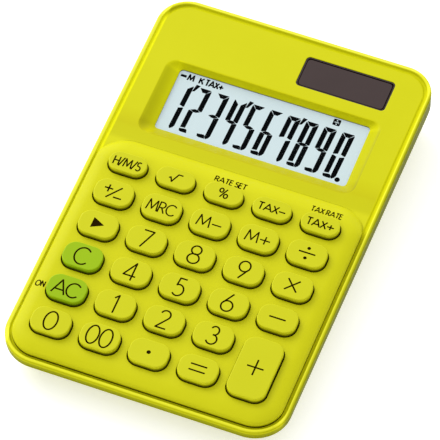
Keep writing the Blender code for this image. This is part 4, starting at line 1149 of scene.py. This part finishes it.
def dress_frame():
    """Gives every frame node that stays in view, or inside the case, its own material."""
    plated = surface("plated_steel", (0.66, 0.64, 0.6), (0.56, 0.54, 0.51), 0.28, 2400.0, 4e-6, uneven=0.07,
                     metallic=1.0, stretch=(1, 8, 1))
    looks = {
        "solar_cell": solar_cell_material(),
        "keypad_mat": surface("silicone_mat", (0.42, 0.43, 0.43), (0.36, 0.37, 0.37), 0.62, 2600.0, 2e-5,
                              mottle=90.0),
        "main_board": surface("circuit_board", (0.01, 0.09, 0.03), (0.006, 0.06, 0.02), 0.45, 2500.0,
                              2e-5, mottle=700.0),
        "chip_cover": surface("chip_epoxy", (0.012, 0.012, 0.013), (0.007, 0.007, 0.008), 0.35, 1500.0, 3e-5,
                              mottle=300.0),
        "button_cell": surface("cell_steel", (0.62, 0.62, 0.61), (0.54, 0.54, 0.54), 0.24, 2400.0, 4e-6,
                               uneven=0.06, metallic=1.0, stretch=(8, 1, 1)),
        "battery_contact_plus": plated,
        "battery_contact_minus": plated,
        "lcd_rear_glass": surface("rear_glass", (0.48, 0.56, 0.56), (0.44, 0.52, 0.52), 0.12, 3000.0, 2e-6),
        "lcd_reflector": surface("reflector_foil", (0.7, 0.72, 0.71), (0.62, 0.64, 0.64), 0.3, 5000.0, 6e-6,
                                 metallic=1.0),
        "lcd_holder": surface("holder_plastic", (0.66, 0.67, 0.66), (0.6, 0.61, 0.6), 0.5, 4200.0, 1.2e-5),
        "lcd_flex_cable": surface("flex_film", (0.45, 0.2, 0.04), (0.38, 0.16, 0.03), 0.38, 3000.0, 6e-6,
                                  stretch=(12, 1, 1)),
        "solar_lead_plus": surface("red_wire", (0.42, 0.015, 0.01), (0.34, 0.01, 0.008), *WIRE_GRAIN),
        "solar_lead_minus": surface("black_wire", (0.014, 0.014, 0.015), (0.008, 0.008, 0.008), *WIRE_GRAIN),
    }
    for name, node in frame["nodes"].items():
        if name in looks or name.startswith("board_screw"):
            node.data.materials.clear()
            node.data.materials.append(looks.get(name, STEEL))


make_upper_case()
for key in KEYS:
    make_key(*key)
make_display()
make_solar()
make_lower_case()
make_feet()
make_battery_cover()
for corner in PLACES:
    make_screw("case_screw_" + corner)
make_screw("battery_cover_screw", head=0.6)
dress_frame()


# ---- floor, light and camera

FLOOR_GLOW = 0.46  # a light table's own light, which keeps the calculator's shadow faint
SKY_LIGHT_FROM = (-0.62, 0.42, 0.66)
SKY_DIM, SKY_BRIGHT = 0.42, 1.22
SKY_TURN = -0.6  # the sky is dim wherever it faces further from its light than this
CAMERA_AZIMUTH = math.radians(21.0)  # the three angles are measured square to the deck
CAMERA_ELEVATION = math.radians(55.17)
CAMERA_ROLL = math.radians(0.08)
CAMERA_LENS = 354.84
CAMERA_SENSOR = 36.0
CAMERA_OFFSET = Vector((-10.462, -20.16, -1143.46))  # where AIM lies in the camera's own right, up and back
AIM = Vector((0.845, 32.1, 1.88))


def make_floor():
    mesh = bpy.data.meshes.new("floor")
    work = bmesh.new()
    bmesh.ops.create_grid(work, x_segments=1, y_segments=1, size=3.0)
    work.to_mesh(mesh)
    work.free()
    look = surface("studio_floor", (0.84, 0.84, 0.84), (0.83, 0.83, 0.83), 0.9, 300.0, 1e-5, mottle=4.0,
                   specular=0.1)
    glowing(look, (1.0, 1.0, 1.0), FLOOR_GLOW)
    mesh.materials.append(look)
    floor = in_scene("floor", mesh)
    floor.location.z = -0.0001


def area_light(name, place, size, power):
    """A square light aimed at the middle of the calculator."""
    data = bpy.data.lights.new(name, "AREA")
    data.shape = "SQUARE"
    data.size = size
    data.energy = power
    lamp = in_scene(name, data)
    lamp.location = place
    lamp.rotation_euler = (-Vector(place)).to_track_quat("-Z", "Y").to_euler()


def make_light():
    world = bpy.data.worlds.new("studio")
    bpy.context.scene.world = world
    world.use_nodes = True
    tree = world.node_tree
    level = share_along(tree, "Generated", SKY_LIGHT_FROM, From_Min=SKY_TURN, To_Min=SKY_DIM,
                        To_Max=SKY_BRIGHT)
    back = tree.nodes["Background"]
    back.inputs["Color"].default_value = (1.0, 1.0, 1.0, 1)
    link(tree, level, "Result", back, "Strength")
    area_light("key_light", (-0.75, 0.5, 0.72), 0.7, 7.0)
    bpy.context.scene.view_settings.view_transform = "Standard"


def make_camera():
    a, e, r = CAMERA_AZIMUTH, CAMERA_ELEVATION, CAMERA_ROLL
    back = Vector((math.sin(a) * math.cos(e), -math.cos(a) * math.cos(e), math.sin(e)))
    right = Vector((math.cos(a), math.sin(a), 0))
    up = back.cross(right)
    right, up = right * math.cos(r) + up * math.sin(r), up * math.cos(r) - right * math.sin(r)
    turn = Matrix((right, up, back)).transposed()
    place = AIM + turn @ -CAMERA_OFFSET
    data = bpy.data.cameras.new("camera")
    data.lens = CAMERA_LENS
    data.sensor_width = CAMERA_SENSOR
    data.clip_end = 20.0
    camera = in_scene("camera", data)
    world = DECK @ Matrix.Translation(place) @ turn.to_4x4()
    facing = world.to_3x3().normalized().to_4x4()
    camera.matrix_world = Matrix.Translation(world.to_translation() * MM) @ facing
    bpy.context.scene.camera = camera


make_floor()
make_light()
make_camera()
